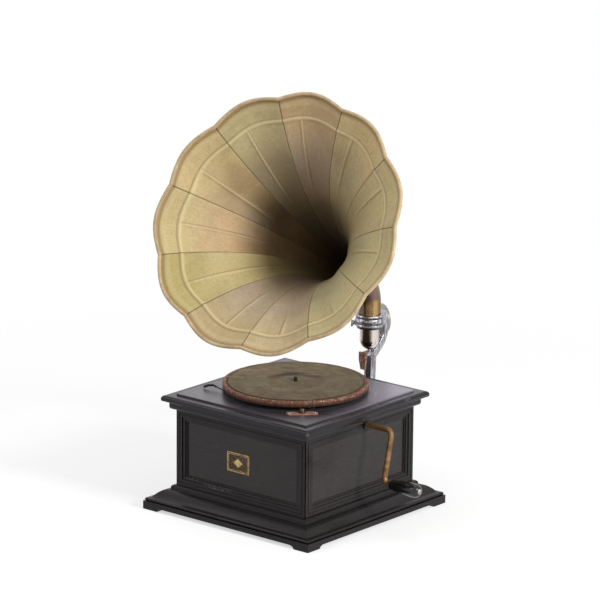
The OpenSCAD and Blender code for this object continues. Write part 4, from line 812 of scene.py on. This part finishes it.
# Horn: eleven petals of thin steel, lock-seamed to each other, painted khaki in a crossed grain
# and aged. Each has a pressed band that follows the mouth and a pressed rib down its middle.
horn_at = (0, 206.7 * mm, 368 * mm)
horn_turn = (0, math.radians(61.75), math.radians(-78.2))
horn_frame = (Matrix.Translation(horn_at) @ Matrix.Rotation(horn_turn[2], 4, "Z")
              @ Matrix.Rotation(horn_turn[1], 4, "Y"))
petals, horn_phase = 11, -2.6
petal_step = 360 / petals
throat_r, notch_r, throat_at, horn_len = 23.1, 221.5, 60.0, 343.0
flare, petal_bulge, notch_ease, sheet_t = 3.0, 10.0, 0.4, 1.0
flare_end = math.exp(flare) - 1
band_at, band_dip, band_half, band_high = 0.944, 0.004, 0.006, 2.3
rib_half, rib_high, fold_deep, rim_at, rim_half, rim_deep = 2.3, 1.5, 0.5, 0.9968, 0.0028, 1.2
rib_places = (0.04, -0.05, 0.29, 0.35, 0.37, 0.36, 0.28, 0.2, 0.02, 0.04, 0.1)
rib_ends = (0.82, 0.83, 0.7, 0.72, 0.68, 0.62, 0.6, 0.62, 0.6, 0.5, 0.68)


def horn_radius(along):
    """Radius at the seams, in mm, from the small end at 0 to the mouth at 1."""
    return throat_r + (notch_r - throat_r) * (math.exp(flare * along) - 1) / flare_end


def horn_slope(along):
    """How fast the radius grows with the length."""
    return (notch_r - throat_r) * flare * math.exp(flare * along) / flare_end / horn_len


def petal_wave(across):
    """How far a petal bulges between its seams, from 0 at -1 and 1 to 1 in the middle."""
    return ((1 - notch_ease) * (1 - across * across)
            + notch_ease * (1 + math.cos(math.pi * across)) / 2)


def petal_point(along, across, lift, number):
    """A point of a petal in the horn's frame. lift raises it off the sheet, towards the axis."""
    steep = horn_slope(along)
    lean = math.hypot(1, steep)
    radius = horn_radius(along)
    radius += petal_bulge * (radius / notch_r) ** 1.4 * petal_wave(across) - lift / lean
    angle = math.radians(horn_phase + petal_step * (number + 0.5 + across / 2))
    return Vector((radius * math.cos(angle), radius * math.sin(angle),
                   throat_at + horn_len * along + lift * steep / lean)) * mm


def half_petal(along):
    """Half a petal's width between its seams, in mm."""
    return horn_radius(along) * math.radians(petal_step / 2)


def rib_reach(along, number):
    """1 where the rib is at its full height, 0 past its end and outside the band."""
    if along > band_at + 0.004:
        return 0.0
    return min(1.0, max(0.0, (along - rib_ends[number]) / 0.12))


def pressed(along, across, number):
    """Height of the pressed lines, towards the inside of the horn, in mm."""
    half = half_petal(along)
    band_line = math.exp(-((along - band_at - band_dip * across * across) / band_half) ** 2)
    rib_line = math.exp(-((across - rib_places[number]) * half / rib_half) ** 2)
    seam_fold = math.exp(-((1 - abs(across)) * half) ** 2)
    rim_line = math.exp(-((along - rim_at) / rim_half) ** 2)
    raised_line = max(band_high * band_line, rib_high * rib_line * rib_reach(along, number))
    return raised_line - fold_deep * seam_fold - rim_deep * rim_line


# Rows of the sheet run to the mouth, close together at the band and the edge; columns run from
# the rib to a seam, close together at both.
rows = ([0.925 * (1 - (1 - i / 34) ** 1.35) for i in range(34)]
        + [0.925 + 0.0026 * i for i in range(20)]
        + [0.979, 0.984, 0.9885, 0.9915, 0.994, 0.996, 0.998, 1.0, 1.0045])
half_columns = [0.0, 0.02, 0.045, 0.075, 0.11, 0.16, 0.24, 0.34, 0.45, 0.56, 0.67, 0.77, 0.86,
                0.92, 0.96, 0.985, 1.0]


def petal_sheet(bm, number):
    """One petal as a sheet of quads. Its UV map counts the petals across and runs to the mouth;
    rib_offset is the distance from the rib in metres and rib_share how much of it is there."""
    middle = rib_places[number]
    columns = [-c for c in reversed(half_columns)][:-1] + half_columns
    columns = [c + middle * (1 - c * c) for c in columns]
    grid = bmesh.ops.create_grid(bm, x_segments=len(columns) - 1, y_segments=len(rows) - 1,
                                 size=1)["verts"]

    def counted(vert):
        return (columns[round((vert.co.x + 1) / 2 * (len(columns) - 1))],
                rows[round((vert.co.y + 1) / 2 * (len(rows) - 1))])

    uv = bm.loops.layers.uv.verify()
    faces = {f for v in grid for f in v.link_faces}
    for face in faces:
        for corner in face.loops:
            across, along = counted(corner.vert)
            corner[uv].uv = (number + 0.5 + across / 2, along)
    for vert in grid:
        across, along = counted(vert)
        vert[rib_offset] = (across - middle) * half_petal(along) * mm
        vert[rib_share] = rib_reach(along, number)
        vert.co = petal_point(along, across, pressed(along, across, number), number)
    return list(faces)


bm = bmesh.new()
rib_offset = bm.verts.layers.float.new("rib_offset")
rib_share = bm.verts.layers.float.new("rib_share")
for number in range(petals):
    bmesh.ops.solidify(bm, geom=petal_sheet(bm, number), thickness=sheet_t * mm)
bmesh.ops.reverse_faces(bm, faces=bm.faces[:])
bm.normal_update()
outer_face = bm.faces.layers.float.new("outer_face")
for face in bm.faces:
    middle = face.calc_center_median()
    face[outer_face] = float(face.normal.x * middle.x + face.normal.y * middle.y > 0)
bmesh.ops.transform(bm, matrix=horn_frame, verts=bm.verts)


def kept(tree, name):
    """A value that the mesh keeps at its points or faces."""
    stored = tree.nodes.new("ShaderNodeAttribute")
    stored.attribute_name = name
    return stored.outputs["Fac"]


horn_paint, horn_tree, horn_shader = new_finish("horn_paint", 0.5, specular=0.3)
axis_place = place(horn_tree, centre=horn_at, turn=horn_turn)
sheet_parts = horn_tree.nodes.new("ShaderNodeSeparateXYZ")
horn_tree.links.new(place(horn_tree, source="UV"), sheet_parts.inputs[0])
petal_count, mouthward = sheet_parts.outputs["X"], sheet_parts.outputs["Y"]
off_middle = calculated("SUBTRACT", calculated("MULTIPLY", calculated("FRACT", petal_count), 2), 1)
petal_centre = calculated("ADD", calculated("FLOOR", petal_count), 0.5)
petal_place = calculated("DIVIDE", petal_centre, petals)
inner_face = calculated("SUBTRACT", 1, kept(horn_tree, "outer_face"))

# The petals' paints, from the one that starts at horn_phase, on the outside and the inside.
outer_shades = ((204, 182, 140), (216, 200, 150), (216, 200, 148), (216, 196, 146),
                (220, 194, 144), (204, 174, 132), (200, 184, 138), (216, 192, 140),
                (212, 192, 142), (192, 175, 116), (190, 168, 126))
inner_shades = ((190, 172, 150), (196, 188, 152), (194, 184, 146), (196, 182, 144),
                (194, 180, 146), (170, 150, 132), (146, 132, 106), (176, 150, 112),
                (212, 180, 138), (204, 189, 138), (186, 168, 146))
outer_paint, inner_paint = (
    painted(petal_place, *((k / petals, shade) for k, shade in enumerate(shades)),
            blend="CONSTANT") for shades in (outer_shades, inner_shades))
# Painted cast shadow of the horn's own flare, inside petals 7 and 8 on the left.
petal_cast_shadow = tones(petal_place, (0, (1, 1, 1)), (7 / petals, (0.36, 0.34, 0.32)),
              (8 / petals, (0.5, 0.47, 0.44)), (9 / petals, (1, 1, 1)), blend="CONSTANT")
# Inside, darker towards the throat: partly grime, partly painted shade of the deep throat.
grime_and_throat_shade = tones(mouthward, (0.0, (0.2, 0.17, 0.15)), (0.2, (0.3, 0.26, 0.23)),
               (0.3, (0.28, 0.25, 0.22)), (0.4, (0.3, 0.27, 0.24)), (0.5, (0.35, 0.32, 0.29)),
               (0.6, (0.48, 0.45, 0.41)), (0.7, (0.74, 0.71, 0.66)), (0.82, (0.94, 0.93, 0.91)),
               (0.9, (1, 1, 1)))
clouds = mottle(axis_place, 11, 4, 0.55, 0.3)
clouded = tones(clouds, (0.3, (0.8, 0.78, 0.72)), (0.5, (1, 1, 1)), (0.72, (1, 0.98, 0.9)))
stains = mottle(axis_place, 130, 7, 0.72)
threads_across = mottle(place(horn_tree, source="UV", size=(1 / 60, 1 / 16, 1)), 1.0, 3, 0.6)
threads_along = mottle(place(horn_tree, source="UV", size=(1 / 9, 1 / 330, 1)), 1.0, 3, 0.6)
crossed = calculated("MULTIPLY", threads_across, threads_along)
speckle = mottle(axis_place, 600, 3, 0.8)
band_curve = calculated("MULTIPLY", calculated("MULTIPLY", off_middle, off_middle), band_dip)
off_band = calculated("SUBTRACT", calculated("SUBTRACT", mouthward, band_curve), band_at)
off_rib, rib_there = kept(horn_tree, "rib_offset"), kept(horn_tree, "rib_share")
# Painted highlights along the crests of the band and ribs, partly worn paint, and painted shade
# along one side of each, partly dirt.
band_shade_side = within(off_band, 0.0062, 0.0045, 0.001)
band_highlight = within(off_band, 0, 0.0062, 0.002)
rib_shade_side = calculated("MULTIPLY", rib_there, within(off_rib, -2.9 * mm, 2.2 * mm, 0.5 * mm))
rib_highlight = calculated("MULTIPLY", calculated(
    "MULTIPLY", rib_there, within(off_rib, 0, 2.4 * mm, 0.8 * mm)), 0.55)
feed(horn_shader, "Base Color", laid_over(spread(mouthward, 0.94, 0.82), outer_paint, inner_paint))
# Layers from the paint up: where each lies, its colour, its share, and how it lies if not flat.
for layer in (
        # Painted cast shadow across the inside of petals 7 and 8.
        (calculated("MULTIPLY", within(mouthward, 0.645, 0.14, 0.03), inner_face), petal_cast_shadow, 1.0,
         "MULTIPLY"),
        (None, clouded, 1.0, "MULTIPLY"),
        (spread(stains, 0.54, 0.7), (126, 110, 72), 0.32),
        (spread(stains, 0.42, 0.3), (232, 218, 184), 0.25),
        (spread(crossed, 0.33, 0.2), (126, 106, 72), 0.15),
        (spread(speckle, 0.5, 0.36), (116, 102, 70), 0.38),
        # Painted shade beside the band and ribs, partly dirt.
        (calculated("MAXIMUM", band_shade_side, rib_shade_side), (122, 98, 62), 0.38),
        # Painted highlights on the band and ribs, partly worn paint.
        (calculated("MAXIMUM", band_highlight, rib_highlight), (232, 216, 168), 0.45),
        # Painted shade in the groove just inside the roll.
        (spread(mouthward, 0.9915, 0.9965), (134, 102, 62), 0.55),
        (within(mouthward, 0.984, 0.009, 0.003), (220, 200, 152), 0.25),
        (spread(calculated("ABSOLUTE", off_middle), 0.976, 0.99), (84, 66, 50), 0.8),
        # Grime and painted shade, darker towards the throat.
        (inner_face, grime_and_throat_shade, 1.0, "MULTIPLY")):
    overpaint(horn_paint, *layer)
feed(horn_shader, "Roughness", spread(clouds, 0.3, 0.7, 0.42, 0.56))
relief(horn_shader, crossed, 0.35 * mm, 0.4)
relief(horn_shader, mottle(axis_place, 45, 4, 0.6), 1.0 * mm, 0.25)
piece_from(bm, "petal_sheets", "horn", "horn_paint", horn_paint, sharp=50,
           stands_for=("horn_petals",))

# Mouth of the horn: the petals' edges are rolled over a wire, one roll that follows every petal
# and dips at the seams. Its paint has rubbed to a pale pinkish tan with brown chips.
roll_r, roll_facets, roll_steps_each = 3.2, 14, 24
roll_steep = horn_slope(1)
roll_out = (roll_r + 0.2 + sheet_t / 2) / math.hypot(1, roll_steep)
bm = bmesh.new()
bmesh.ops.create_circle(bm, segments=roll_facets, radius=roll_r * mm,
                        matrix=Matrix.Translation((notch_r * mm, 0, 0)) @ rotated(90, "X"))
bmesh.ops.spin(bm, geom=bm.edges[:], axis=(0, 0, 1), cent=(0, 0, 0), angle=math.tau,
               steps=petals * roll_steps_each, use_merge=True)
for vert in bm.verts:
    angle = math.degrees(math.atan2(vert.co.y, vert.co.x)) % 360
    across = 2 * (angle / petal_step % 1) - 1
    outward = Vector((vert.co.x, vert.co.y, 0)).normalized()
    vert.co += outward * (petal_bulge * petal_wave(across) + roll_out * roll_steep) * mm
    vert.co.z += (throat_at + horn_len + roll_out) * mm
bmesh.ops.remove_doubles(bm, verts=bm.verts, dist=0.01 * mm)
bmesh.ops.recalc_face_normals(bm, faces=bm.faces)
bmesh.ops.transform(bm, verts=bm.verts, matrix=horn_frame @ rotated(horn_phase, "Z"))
roll_paint = patchy("roll_paint", 0.42, 0.4, 45, 6, (0.3, (166, 140, 104)),
                    (0.5, (196, 170, 130)), (0.7, (214, 192, 150)), bumps=(0.4 * mm, 0.4))
roll_chips = mottle(place(roll_paint.node_tree), 210, 4, 0.7)
overpaint(roll_paint, spread(roll_chips, 0.62, 0.68), (120, 86, 62), 0.6)
piece_from(bm, "mouth_roll", "horn", "horn_edge", roll_paint, stands_for=("horn_rim",))

# Seams of the horn: each pair of petals is folded together on the outside into a flat lock
# seam of the same steel, which runs from the ferrule to the mouth and is painted over.
seam_steps, seam_from, seam_length = 40, 0.02, 0.965
seam_outline = [(x * mm, y * mm) for x, y in
                ((-2.6, 0), (2.6, 0), (2.6, 0.9), (1.9, 1.5), (-1.9, 1.5), (-2.6, 0.9))]
bm = bmesh.new()
for number in range(petals):
    seam_stations = []
    for step in range(seam_steps + 1):
        along = seam_from + seam_length * (1 - (1 - step / seam_steps) ** 1.3)
        here = petal_point(along, -1, -sheet_t, number)
        ahead = petal_point(along + 0.01, -1, -sheet_t, number) - here
        off_sheet = petal_point(along, -1, -sheet_t - 1, number) - here
        seam_stations.append(station(here, ahead, off_sheet))
    swept(bm, seam_outline, seam_stations)
bmesh.ops.transform(bm, matrix=horn_frame, verts=bm.verts)
piece_from(bm, "lock_seams", "horn", "horn_paint", patchy(
    "seam_paint", 0.5, 0.3, 120, 5, (0.35, (136, 118, 82)), (0.6, (168, 150, 110)),
    (0.7, (190, 172, 134))))
